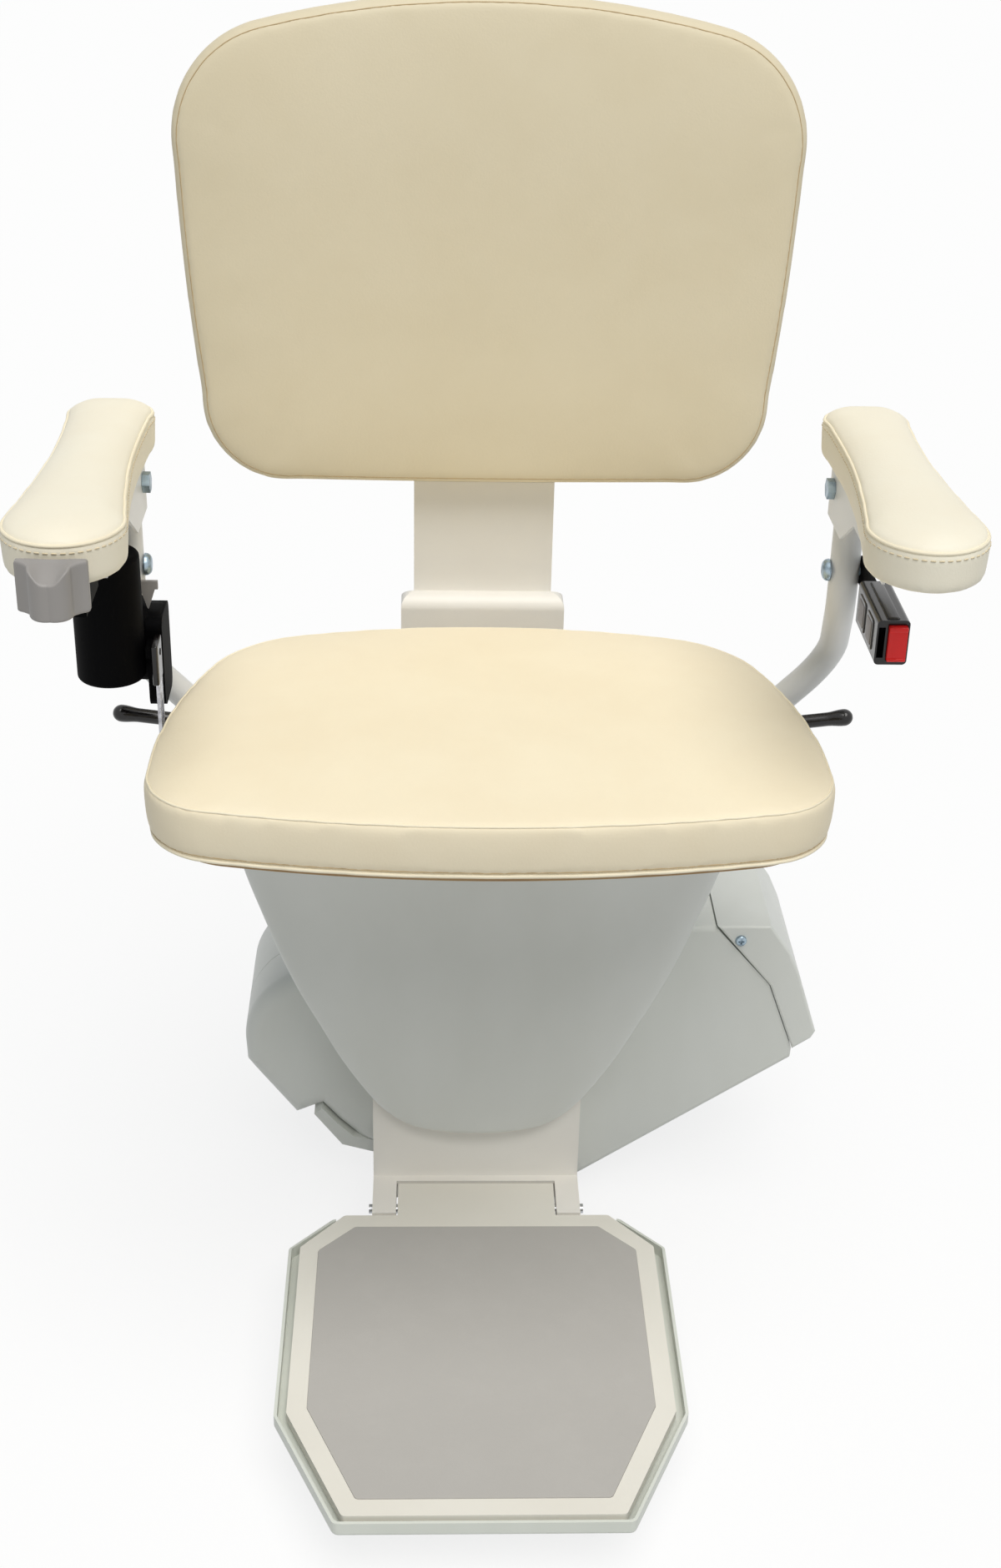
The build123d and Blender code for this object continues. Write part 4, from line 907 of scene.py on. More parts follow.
@dataclass
class Cushion:
    """A padded form on a flat base: a boxed cover, sewn round its edges, over foam."""

    name: str
    body: str
    segments: Sequence[tuple]
    centre: tuple[float, float]
    half: tuple[float, float]
    profile: Sequence[tuple[float, float]]
    crown: float
    trims: Sequence[Trim]
    reach: float = 26.0
    recess: Optional[tuple[float, float]] = None
    side_rows: int = 22
    base_rows: int = 8
    base_reach: float = 0.97
    crown_rows: int = 26
    crown_reach: float = 0.985
    crowding: float = 1.7
    finish: str = "cream_vinyl"
    slot: str = "cream_vinyl"
    origin: tuple[float, float, float] = (0.0, 0.0, 0.0)
    along: tuple[float, float, float] = (0.0, 1.0, 0.0)
    up: tuple[float, float, float] = (0.0, 0.0, 1.0)
    voxel: float = 5.0
    cap: float = 5.0
    pressure: float = 4.0
    frames: int = 20
    quality: int = 5
    held: float = 0.9
    fill: float = 0.85
    around: int = 300
    stitch_drop: float = 4.6
    stitch_length: float = 3.4
    stitch_pitch: float = 5.2
    stitch_width: float = 0.9
    stitch_lift: float = 0.15
    outline: Points = field(init=False)

    def __post_init__(self) -> None:
        """Works out the plan's outline once."""
        self.outline = closed_outline(self.segments, self.around)

    def placed(self, plan: Points, height: Any) -> Points:
        """Moves points of the plan to the cushion's own plane.

        Args:
            plan: The points.
            height: Their height above the cushion's base.

        Returns:
            Their places in the frame.
        """
        across = np.array([1.0, 0.0, 0.0])
        lift = np.asarray(height, float)[..., None] * np.array(self.up)
        flat = plan[..., :1] * across + plan[..., 1:2] * np.array(self.along)
        return np.array(self.origin) + flat + lift

    def ring(self, height: float, inset: float) -> Points:
        """The outline drawn in.

        Args:
            height: Its height above the cushion's base.
            inset: How far it is drawn in.

        Returns:
            Its points in the frame.
        """
        scale = np.array([1.0 - inset / self.half[0], 1.0 - inset / self.half[1]])
        plan = np.array(self.centre) + (self.outline - np.array(self.centre)) * scale
        return self.placed(plan, height)

    def outward(self) -> Points:
        """Works out the plan's outward direction at each point.

        Returns:
            Directions square to the outline, one row each.
        """
        tangent = unit(np.roll(self.outline, -1, axis=0) - np.roll(self.outline, 1, axis=0))
        normal = np.column_stack([tangent[:, 1], -tangent[:, 0]])
        away = self.outline - np.array(self.centre)
        normal *= np.sign((normal * away).sum(axis=1)).mean() or 1.0
        return self.placed(normal, 0.0) - np.array(self.origin)

    def rings(self) -> Points:
        """Rings up the sides along a smooth profile, then over the crown.

        The crown rises by crown * (1 - exp(-inset / reach)) from the upper seam to the middle.

        Returns:
            Points by ring, place in the ring and axis.
        """
        sides = smooth_line(self.profile, self.side_rows)
        seam_height, seam_inset = self.profile[-1]
        smallest = min(self.half)
        floor, rim = self.recess or (self.profile[0][0], sides[0][1] + 6)
        innermost = smallest * self.base_reach
        bottom = [self.ring(floor, inset) for inset in np.linspace(innermost, rim, self.base_rows)]
        if self.recess:
            bottom += [self.ring(height, rim - 0.3) for height in (floor - 2.0, self.profile[0][0] + 0.4)]
        wall = [self.ring(height, inset) for height, inset in sides]
        shares = np.linspace(0.0, 1.0, self.crown_rows)[1:] ** self.crowding
        insets = seam_inset + (smallest * self.crown_reach - seam_inset) * shares
        rises = seam_height + self.crown * (1.0 - np.exp(-(insets - seam_inset) / self.reach))
        top = [self.ring(height, inset) for height, inset in zip(rises, insets)]
        return np.array(bottom + wall + top)

    def sewn_paths(self) -> list[Points]:
        """The line of each trim, in millimetres."""
        return [self.ring(trim.height, trim.inset) for trim in self.trims]

    def puffed(self, piece: bpy.types.Object) -> None:
        """Fills the cover by cloth simulation: pressure pushes it out while its seams and base hold still.

        Each point moves by cap * (1 - exp(-distance / cap)), so none strays further than the cap.

        Args:
            piece: The cover.
        """
        start = read_points(piece.data)
        seams = np.vstack(self.sewn_paths()) * MM
        near = distance_to(start, seams) < self.voxel * self.held * MM
        heights = (start / MM - np.array(self.origin)) @ np.array(self.up)
        base = heights < (self.recess or self.profile[0])[0] + 2.0
        group = piece.vertex_groups.new(name="held")
        group.add(np.flatnonzero(near | base).tolist(), 1.0, "REPLACE")
        cloth = piece.modifiers.new("Cover", "CLOTH")
        cloth.settings.quality = self.quality
        cloth.settings.use_pressure = True
        cloth.settings.uniform_pressure_force = self.pressure
        cloth.settings.effector_weights.gravity = 0.0
        cloth.settings.vertex_group_mass = group.name
        cloth.point_cache.frame_start = 1
        cloth.point_cache.frame_end = self.frames
        scene = bpy.context.scene
        for frame_number in range(1, self.frames + 1):
            scene.frame_set(frame_number)
        graph = bpy.context.evaluated_depsgraph_get()
        shape = piece.evaluated_get(graph).to_mesh()
        moved = read_points(shape) - start
        piece.evaluated_get(graph).to_mesh_clear()
        piece.modifiers.clear()
        piece.vertex_groups.clear()
        scene.frame_set(1)
        length = np.linalg.norm(moved, axis=1, keepdims=True)
        limit = self.cap * MM
        capped = limit * (1.0 - np.exp(-length / limit))
        write_points(piece.data, start + moved / np.maximum(length, 1e-9) * capped)

    def grooved(self, piece: bpy.types.Object) -> None:
        """Presses the sewn lines into the cover: points sink by groove * exp(-(distance / spread) squared).

        Args:
            piece: The cover.
        """
        mesh = piece.data
        points = read_points(mesh)
        normals = np.empty(len(mesh.vertices) * 3, np.float32)
        mesh.vertices.foreach_get("normal", normals)
        normals = normals.reshape(-1, 3)
        for trim, path in zip(self.trims, self.sewn_paths()):
            away = distance_to(points, path * MM) / (trim.spread * MM)
            points -= normals * (trim.groove * MM * np.exp(-away ** 2))[:, None]
        write_points(mesh, points)

    def build(self, wardrobe: Wardrobe, node: str) -> None:
        """Builds the cushion with its trims and puts it in the place of a CAD node.

        Args:
            wardrobe: Where materials come from.
            node: The CAD node that it stands for.
        """
        cover = capped_rings(self.name, self.rings())
        remesh = cover.modifiers.new("Weave", "REMESH")
        remesh.mode = "VOXEL"
        remesh.voxel_size = self.voxel * MM
        remesh.use_smooth_shade = True
        baked(cover)
        self.puffed(cover)
        relax = cover.modifiers.new("Relax", "SMOOTH")
        relax.factor = 0.5
        relax.iterations = 2
        divide = cover.modifiers.new("Divide", "SUBSURF")
        divide.levels = 1
        divide.render_levels = 1
        baked(cover)
        self.grooved(cover)
        shade_smooth(cover.data)
        wardrobe.fit(cover, self.finish, self.body, self.slot, node)
        for trim, path in zip(self.trims, self.sewn_paths()):
            self.sew(trim, path, cover, wardrobe)

    def on_cover(self, cover: bpy.types.Object, path: Points) -> tuple[Points, Points]:
        """Moves points to the nearest places on the cover.

        Args:
            cover: The cushion's finished cover.
            path: The points.

        Returns:
            The places, and the cover's outward direction at each.
        """
        tree = BVHTree.FromPolygons([vertex.co for vertex in cover.data.vertices],
                                    [polygon.vertices for polygon in cover.data.polygons])
        hits = [tree.find_nearest(Vector(place * MM)) for place in path]
        return np.array([tuple(hit[0]) for hit in hits]) / MM, np.array([tuple(hit[1]) for hit in hits])

    def sew(self, trim: Trim, path: Points, cover: bpy.types.Object, wardrobe: Wardrobe) -> None:
        """Lays the piping, or at a plain seam a thin dark cord of painted shadow, along a trim, with a row of
        stitches below where it has one.

        Args:
            trim: The trim.
            path: Its line on the plain form.
            cover: The cushion's finished cover.
            wardrobe: Where materials come from.
        """
        places, normals = self.on_cover(cover, path)
        line = places + normals * trim.radius * trim.proud
        line = (np.roll(line, 1, axis=0) + 2 * line + np.roll(line, -1, axis=0)) / 4
        points, faces = ring_tube(line, self.outward(), trim.radius)
        cord = make_piece(f"{self.name}_{trim.name}", points, faces)
        # piped seams take the lighter piping vinyl, a painted highlight; plain seams get a thin dark cord,
        # painted shadow in the seam's groove
        finish = "piping_vinyl_painted_highlight" if trim.seam is Seam.PIPED else "seam_shadow"
        wardrobe.fit(cord, finish, self.body, self.slot)
        if trim.stitched:
            self.stitch(trim, cover, wardrobe)

    def stitch(self, trim: Trim, cover: bpy.types.Object, wardrobe: Wardrobe) -> None:
        """Sews a row of short stitches below a trim, each a small rounded bar that lies on the cover.

        Args:
            trim: The trim.
            cover: The cushion's finished cover.
            wardrobe: Where materials come from.
        """
        path = self.ring(trim.height - self.stitch_drop, trim.inset)
        length = np.linalg.norm(np.roll(path, -1, axis=0) - path, axis=1).sum()
        spots = respaced(path, int(length / self.stitch_pitch), closed=True)
        ahead = unit(np.roll(spots, -1, axis=0) - np.roll(spots, 1, axis=0))
        middle, normal = self.on_cover(cover, spots)
        across = np.cross(ahead, normal)
        sides, rings = 6, np.array([-0.5, -0.42, -0.2, 0.2, 0.42, 0.5])
        width = np.array([0.15, 0.42, 0.5, 0.5, 0.42, 0.15])[:, None, None] * self.stitch_width
        angle = np.linspace(0.0, 2 * math.pi, sides, endpoint=False)[:, None]
        spokes = np.cos(angle) * across[:, None, None] + np.sin(angle) * normal[:, None, None]
        places = (rings * self.stitch_length)[:, None, None] * ahead[:, None, None]
        bars = (middle + normal * self.stitch_lift)[:, None, None] + places + width * spokes
        one = grid_faces(len(rings), sides)
        rim = np.arange(sides)
        ends = np.array([rim[::-1], rim + sides * (len(rings) - 1)])
        offset = (np.arange(len(spots)) * sides * len(rings))[:, None, None]
        quads = (one + offset).reshape(-1, 4).tolist()
        lids = (ends + offset).reshape(-1, sides).tolist()
        thread = make_piece(f"{self.name}_stitches", bars.reshape(-1, 3), quads + lids)
        wardrobe.fit(thread, "sewing_thread", self.body, self.slot)


@dataclass(frozen=True)
class SeatPlan:
    """Sizes of the seat: a wide bowed front, rounded front corners and sides that narrow to the rear."""

    half: float = 232.0
    front: float = -487.0
    rear: float = -166.0
    board_top: float = 441.0
    board_inset: float = 14.6
    low: float = 434.6
    seam: float = 477.5

    def cushion(self) -> Cushion:
        """The seat cushion: a thin welt round its top, a fuller one where the cover turns under.

        Returns:
            The cushion.
        """
        half, low = self.half, self.low
        segments = [((190, -467), (221, -447)), ((half, -408), (half - 6, -322)),
                    ((205, -245), (186, -212)), ((150, -187), (0, self.rear)),
                    ((-150, -187), (-186, -212)), ((-205, -245), (6 - half, -322)),
                    ((-half, -408), (-221, -447)), ((-190, -467), (0, self.front))]
        profile = [(low, 9.0), (low + 0.6, 4.6), (low + 3, 2.2), (low + 6.5, 2.0), (low + 18, 0.6),
                   (low + 30, 0.2), (self.seam - 3, 0.3), (self.seam, 1.2)]
        trims = [Trim("top_welt", self.seam, 0.9, Seam.PIPED, 0.8, groove=0.7, spread=2.0, proud=0.15),
                 Trim("lower_welt", low + 3.2, 2.3, Seam.PIPED, 1.5, groove=0.4, spread=2.0, proud=0.1),
                 # a thin dark cord of painted shadow above the lower welt
                 Trim("lower_seam_shadow", low + 6.6, 1.9, Seam.PLAIN, 0.45, groove=1.0, spread=1.7)]
        return Cushion("seat_pad", "seat", segments, (0.0, (self.front + self.rear) / 2),
                       (half, (self.rear - self.front) / 2), profile, 8.5, trims, reach=34.0, cap=3.5,
                       around=420, recess=(self.board_top + 0.2, self.board_inset))


@dataclass(frozen=True)
class BackPlan:
    """Sizes of the backrest: a leaning pad with wide rounded shoulders and tighter lower corners."""

    half: float = 226.5
    height: float = 346.0
    thickness: float = 40.0
    seam_depth: float = 9.0
    lean: float = 3.0
    rear: float = -112.0
    bottom: float = 586.0
    drop: float = 5.0
    panel: float = 10.0
    panel_inset: float = 11.4
    panel_round: float = 4.0

    def segments(self) -> list[tuple]:
        """The front view's outline.

        Returns:
            Its start and middle points, for closed_outline.
        """
        half, low = self.half, -self.drop
        return [((-145, low + 1), (0, low)), ((145, low + 1), (195, low + 18)), ((213, 62), (222, 150)),
                ((half, 232), (211, 296)), ((165, 326), (0, self.height)), ((-165, 326), (-211, 296)),
                ((-half, 232), (-222, 150)), ((-213, 62), (-195, low + 18))]

    def cushion(self) -> Cushion:
        """The backrest cushion, its face panel sewn to the side band.

        Returns:
            The cushion.
        """
        seam = self.thickness - self.seam_depth
        profile = [(0.0, 10.0), (1.5, 5.0), (6.0, 1.5), (14.0, 0.3), (22.0, 0.5), (27.0, 1.8), (seam, 4.4)]
        # the face seam's thin dark cord is painted shadow
        trims = [Trim("face_seam_shadow", seam, 4.2, Seam.PLAIN, 0.42, groove=0.9, spread=1.8)]
        lean = math.radians(self.lean)
        middle, tall = (self.height - self.drop) / 2, (self.height + self.drop) / 2
        # the backrest's cover takes the darkened cream vinyl: painted shade
        return Cushion("back_pad", "seat_base", self.segments(), (0.0, middle), (self.half, tall),
                       profile, 8.0, trims, reach=24.0, cap=4.0, around=420, finish="back_vinyl_painted_shade",
                       origin=(0.0, self.rear, self.bottom), along=(0.0, math.sin(lean), math.cos(lean)),
                       up=(0.0, -math.cos(lean), math.sin(lean)))

    def build_panel(self, wardrobe: Wardrobe) -> None:
        """Builds the vinyl-covered panel that closes the backrest's rear.

        Its edge is a quarter circle: it is drawn in by panel_round * (1 - cos a) at a height of
        panel_round * (1 - sin a) over the rear face.

        Args:
            wardrobe: Where materials come from.
        """
        pad = self.cushion()
        turns = np.linspace(0.0, math.pi / 2, 7)
        innermost = min(pad.half) * pad.base_reach
        rings = [pad.ring(-0.2, inset) for inset in np.linspace(innermost, self.panel_inset + 1, 6)]
        rings.append(pad.ring(-0.6, self.panel_inset))
        rings += [pad.ring(-self.panel + self.panel_round * (1 - math.sin(turn)),
                           self.panel_inset + self.panel_round * (1 - math.cos(turn))) for turn in turns]
        insets = np.linspace(self.panel_inset + self.panel_round, innermost, 8)[1:]
        rings += [pad.ring(-self.panel, inset) for inset in insets]
        panel = capped_rings("back_panel", np.array(rings))
        # the rear panel takes the same darkened cream vinyl: painted shade
        wardrobe.fit(panel, "back_vinyl_painted_shade", "seat_base", "cream_vinyl", "back_board")


@dataclass(frozen=True)
class ArmPadPlan:
    """Sizes of an arm pad: a broad rounded front that draws in to a waist, and a plain rear end."""

    side: int
    place: float = 264.0
    front: float = -496.0
    rear: float = -221.0
    wide: float = 38.0
    waist: float = 27.5
    back: float = 29.0
    low: float = 642.0
    top: float = 678.5
    seam_depth: float = 8.5

    def cushion(self) -> Cushion:
        """The arm pad with piping round its top and a row of stitches below it.

        Returns:
            The cushion.
        """
        x = self.side * self.place
        front, rear, wide, waist, back = self.front, self.rear, self.wide, self.waist, self.back
        flank = (wide + waist) / 2 - 1
        segments = [((x - 24, front + 9), (x, front)), ((x + 24, front + 9), (x + wide - 2, front + 26)),
                    ((x + wide, front + 48), (x + flank, front + 100)),
                    ((x + waist, front + 160), (x + waist, front + 196)),
                    ((x + back, rear - 32), (x + back - 3, rear - 8)), ((x + back - 12, rear), None),
                    ((x - back + 12, rear), (x - back + 3, rear - 8)),
                    ((x - back, rear - 32), (x - waist, front + 196)),
                    ((x - waist, front + 160), (x - flank, front + 100)),
                    ((x - wide, front + 48), (x - wide + 2, front + 26))]
        low, seam = self.low, self.top - self.seam_depth
        profile = [(low, 6.0), (low + 1.0, 3.0), (low + 4, 1.2), (low + 13, 0.8), (seam - 5, 0.3),
                   (seam, 0.6)]
        trims = [Trim("piping", seam, 0.9, Seam.PIPED, 1.15, groove=0.6, spread=2.2, stitched=True,
                      proud=0.2)]
        name = "left_pad" if self.side < 0 else "right_pad"
        body = "left_arm" if self.side < 0 else "right_arm"
        # the arm pads take the paler cream vinyl: painted light
        return Cushion(name, body, segments, (x, (front + rear) / 2), (wide, (rear - front) / 2), profile,
                       10.5, trims, reach=10.0, voxel=3.6, cap=2.5, fill=0.9, finish="pad_vinyl_painted_light")


# ---- covers
@dataclass(frozen=True)
class Shroud:
    """The big front cover: a smooth bowl that narrows from under the seat to a rounded lip."""

    rear: float = -168.0
    top: float = 339.0
    wall: float = 3.0
    column_half: float = 88.3
    column_front: float = -214.4
    hole: float = 51.5
    swivel: float = -250.0
    bow: float = 2.0 / 2.2
    narrowing: float = 0.3
    rise: float = 1.6
    sag: float = 0.8
    straight: int = 14
    across: int = 24
    rows: int = 84
    levels: tuple = (
        (42.5, 40.0, -222.0, -231.5), (46.5, 57.0, -223.0, -232.8), (59.5, 73.5, -225.0, -235.0),
        (80.0, 88.7, -228.0, -239.0), (118.0, 110.0, -233.0, -246.0), (155.0, 127.0, -237.0, -253.0),
        (191.0, 143.0, -241.0, -261.0), (230.0, 157.0, -246.0, -270.0), (268.0, 168.0, -252.0, -281.0),
        (305.0, 178.0, -259.0, -294.0), (336.0, 184.6, -266.0, -307.4),
    )

    def section(self, half: float, edge: float, front: float) -> Points:
        """One closed section: straight sides, a straight rear, and a front that bows out as a superellipse.

        On the front x is half * cos(t) ** bow and y goes from the edge to the front with sin(t).

        Args:
            half: Half its width.
            edge: Where the straight sides end.
            front: Its foremost point.

        Returns:
            Its points in plan, one row each.
        """
        turn = np.linspace(0.0, math.pi, 97)
        x = half * signed_power(np.cos(turn), self.bow)
        bow = np.column_stack([x, edge + (front - edge) * np.sin(turn)])
        forward = self.rear + (edge - self.rear) * np.linspace(0, 1, self.straight, endpoint=False)
        right = np.column_stack([np.full(self.straight, half), forward])
        left = np.column_stack([np.full(self.straight, -half), forward[::-1]])
        back = np.linspace(-half, half, self.across + 2)[1:-1]
        rear = np.column_stack([back, np.full(self.across, self.rear)])
        return np.vstack([right, bow, left, rear])

    def wall_rings(self) -> list[Points]:
        """Rings up the bowl, cut back where they would pass into the column.

        Returns:
            One ring a level, upwards.
        """
        rings = []
        for z, half, edge, front in smooth_line(self.levels, self.rows):
            section = self.section(half, edge, front)
            inside = (np.abs(section[:, 0]) < self.column_half) & (section[:, 1] > self.column_front)
            section[inside, 1] = self.column_front
            rings.append(np.column_stack([section, np.full(len(section), z)]))
        return rings

    def top_rings(self, rolled: Points) -> list[Points]:
        """Rings over the top: an edge rolled as a quarter circle, then flat in to the swivel's hole.

        Args:
            rolled: The highest ring of the wall.

        Returns:
            The rings, inwards.
        """
        middle = np.array([0.0, self.swivel, 0.0])
        flat = rolled - middle
        flat[:, 2] = 0.0
        rim = np.arctan2(flat[:, 1], flat[:, 0])
        circle = np.column_stack([np.cos(rim), np.sin(rim), np.zeros(len(rim))]) * self.hole + middle
        circle[:, 2] = self.top
        shoulder = rolled[0, 2]
        drop = self.top - shoulder
        rings = []
        for turn in np.linspace(0.0, math.pi / 2, 6)[1:]:
            ring = rolled - unit(flat) * (drop * (1.0 - math.cos(turn)))
            ring[:, 2] = shoulder + drop * math.sin(turn)
            rings.append(ring)
        edge = rings[-1]
        return rings + [edge * (1.0 - share) + circle * share for share in (0.25, 0.5, 0.75, 1.0)]

    def foot_rings(self, lip: Points) -> list[Points]:
        """Rings that close the foot of the bowl against the column's face.

        At a share of the way in they narrow by narrowing * share, and lie at rise * share squared - sag *
        sin(pi * share) over the lip.

        Args:
            lip: The lowest ring of the wall.

        Returns:
            The rings, outwards.
        """
        rings = []
        for share in np.linspace(0.0, 1.0, 7)[:0:-1]:
            ring = lip.copy()
            ring[:, 1] = lip[:, 1] + (self.column_front - lip[:, 1]) * share
            ring[:, 0] = lip[:, 0] * (1.0 - self.narrowing * share)
            ring[:, 2] = lip[:, 2] + self.rise * share ** 2 - self.sag * math.sin(share * math.pi)
            rings.append(ring)
        return rings

    def build(self, wardrobe: Wardrobe) -> None:
        """Builds the bowl with its rolled top, the hole for the swivel and a wall of even thickness.

        Args:
            wardrobe: Where materials come from.
        """
        sides = self.wall_rings()
        foot = self.foot_rings(sides[0])
        grid = np.array(foot + sides + self.top_rings(sides[-1]))
        count, columns = grid.shape[:2]
        faces = grid_faces(count, columns)
        row, column = np.divmod(np.arange(len(faces)), columns)
        open_rear = (row < len(foot) + len(sides) - 1) & (column >= columns - self.across - 1)
        piece = make_piece("front_bowl", grid.reshape(-1, 3), faces[~open_rear], turn_out=False)
        solid = piece.modifiers.new("Wall", "SOLIDIFY")
        solid.thickness = self.wall * MM
        solid.offset = -1.0
        wardrobe.fit(piece, "ivory_plastic", "carriage", "ivory_plastic", "front_shroud")


@dataclass(frozen=True)
class Toggle:
    """The travel toggle: a rocker with two finger wings and a nose between them, scooped out on top."""

    x: float = -264.0
    half: float = 21.5
    low: float = 633.0
    top: float = 665.5
    rear: float = -502.0
    depth: float = 6.0
    nose: float = 15.0
    edge: float = 1.8
    scoop: float = 8.6
    scoop_half: float = 9.5
    stem_half: float = 6.0
    stem_top: float = 640.0
    stem_rear: float = -484.0

    def scooped(self, points: Points) -> Points:
        """Lowers the knob's top into a U: every height shrinks towards the base by the scoop's depth.

        The depth is scoop * exp(-(|x| / scoop_half) cubed), from nothing at the rear to all at the nose.

        Args:
            points: Points of the knob.

        Returns:
            The lowered points.
        """
        across = np.abs(points[..., 0] - self.x) / self.scoop_half
        forward = np.clip((self.rear - points[..., 1]) / (self.depth + self.nose), 0.0, 1.0)
        depth = self.scoop * np.exp(-across ** 3) * forward ** 0.7
        lowered = points.copy()
        lowered[..., 2] -= depth * (points[..., 2] - self.low) / (self.top - self.low)
        return lowered

    def knob_rings(self) -> Points:
        """The knob's plan at several heights, drawn in at both ends so that its edges are round.

        Returns:
            Points by ring, place in the ring and axis.
        """
        x, half, rear = self.x, self.half, self.rear
        front = rear - self.depth
        nose = front - self.nose
        segments = [((x - half, rear), None), ((x - half, front + 2), (x - half + 4, front - 0.4)),
                    ((x - 13, front - 5), (x - 8, nose + 1)), ((x, nose), (x + 8, nose + 1)),
                    ((x + 13, front - 5), (x + half - 4, front - 0.4)), ((x + half, front + 2), None),
                    ((x + half, rear), None)]
        plan = closed_outline(segments, 200)
        middle = np.array([x, rear - self.depth * 0.9])
        turns = np.linspace(0.0, math.pi / 2, 6)
        rim = [(self.edge * (1 - math.sin(turn)), self.edge * (1 - math.cos(turn))) for turn in turns]
        lower = [(self.low + rise, inset) for rise, inset in rim[::-1]]
        upper = [(self.top - drop, inset) for drop, inset in rim]
        body = lower + [(height, 0.0) for height in np.linspace(self.low + 3, self.top - 3, 8)] + upper
        rings = []
        for height, inset in body:
            ring = middle + (plan - middle) * (1.0 - inset / (half * 0.8))
            rings.append(np.column_stack([ring, np.full(len(ring), height)]))
        for scale in (0.78, 0.6, 0.42, 0.24, 0.1):
            inner = middle + (plan - middle) * scale
            rings.append(np.column_stack([inner, np.full(len(inner), self.top)]))
        return self.scooped(np.array(rings))

    def stem_rings(self) -> Points:
        """The stem from the knob back to its pin: a rounded bar, a superellipse carried along Y.

        Returns:
            Points by ring, place in the ring and axis.
        """
        turn = np.linspace(0.0, 2 * math.pi, 40, endpoint=False)
        low = self.low + 0.6
        wide = self.x + self.stem_half * signed_power(np.cos(turn), 0.4)
        tall = (low + self.stem_top) / 2 + (self.stem_top - low) / 2 * signed_power(np.sin(turn), 0.4)
        places = np.linspace(self.rear - 2.5, self.stem_rear, 6)
        return np.array([np.column_stack([wide, np.full(len(turn), y), tall]) for y in places])

    def build(self, wardrobe: Wardrobe) -> None:
        """Builds the knob with its stem.

        Args:
            wardrobe: Where materials come from.
        """
        knob = capped_rings("toggle_knob", self.knob_rings())
        stem = capped_rings("toggle_stem", self.stem_rings())
        wardrobe.fit(knob, "grey_plastic", "toggle", "grey_plastic", "travel_toggle")
        wardrobe.fit(stem, "grey_plastic", "toggle", "grey_plastic")


# ---- small pieces
def rounded_bar(name: str, low: Sequence[float], high: Sequence[float], axis: int, edge: float,
                bulge: float = 0.22) -> bpy.types.Object:
    """A block with soft edges: a superellipse section carried along one axis, drawn in at both ends.

    The section is x = a * cos(t) ** bulge, y = b * sin(t) ** bulge. At the ends both half-widths shrink
    by edge * (1 - sin s) while the place moves on by edge * (1 - cos s).

    Args:
        name: The object's name.
        low: Its lowest corner in millimetres.
        high: Its highest corner.
        axis: The axis along which the section is carried.
        edge: The radius of its ends' edges.
        bulge: The section's power, smaller for sharper corners.

    Returns:
        The object.
    """
    low_corner, high_corner = np.array(low, float), np.array(high, float)
    middle, half = (low_corner + high_corner) / 2, (high_corner - low_corner) / 2
    first, second = [number for number in range(3) if number != axis]
    turn = np.linspace(0.0, 2 * math.pi, 56, endpoint=False) + TURN_START
    across = signed_power(np.cos(turn), bulge)
    upward = signed_power(np.sin(turn), bulge)
    bend = np.linspace(0.0, math.pi / 2, 6)
    steps = edge * (1 - np.cos(bend))
    shrink = edge * (1 - np.sin(bend))
    places = np.concatenate([steps - half[axis], half[axis] - steps[::-1]])
    insets = np.concatenate([shrink, shrink[::-1]])
    rings = np.empty((len(places), len(turn), 3))
    rings[..., first] = middle[first] + (half[first] - insets)[:, None] * across
    rings[..., second] = middle[second] + (half[second] - insets)[:, None] * upward
    rings[..., axis] = (middle[axis] + places)[:, None]
    return capped_rings(name, rings)


@dataclass(frozen=True)
class LeverGrips:
    """The two black grips of the swivel lever: slim sleeves that end in a round knob."""

    elbow: tuple[float, float, float] = (222.0, -236.0, 427.5)
    tip: tuple[float, float, float] = (272.0, -244.0, 438.0)
    length: float = 48.0
    beyond: float = 5.6
    slim: float = 5.3
    knob: float = 6.5

    def build(self, wardrobe: Wardrobe) -> None:
        """Builds both grips.

        The radius swells from slim to knob by a smooth step, then closes as a half ellipse.

        Args:
            wardrobe: Where materials come from.
        """
        share = np.concatenate([[0.0, 0.03, 0.06], np.linspace(0.1, 0.86, 16)])
        dome = np.linspace(0.0, math.pi / 2, 9)[1:-1]
        swell = np.clip((share - 0.6) / 0.24, 0.0, 1.0)
        radii = self.slim + (self.knob - self.slim) * smooth_step(swell)
        radii[:3] = (self.slim - 0.9, self.slim - 0.3, self.slim)
        share = np.concatenate([share, 0.86 + 0.14 * np.sin(dome)])
        radii = np.concatenate([radii, self.knob * np.cos(dome)])
        for side, name in ((-1, "left_grip"), (1, "right_grip")):
            mirror = np.array([side, 1.0, 1.0])
            start, end = np.array(self.elbow) * mirror, np.array(self.tip) * mirror
            ahead = unit(end - start)
            first = end - ahead * (self.length - self.beyond)
            path = first + ahead * self.length * share[:, None]
            grip = capped_rings(name, open_tube(path, radii))
            nodes = ("lever_grips",) if side < 0 else ()
            wardrobe.fit(grip, "gloss_black", "lever", "black_rubber", *nodes)


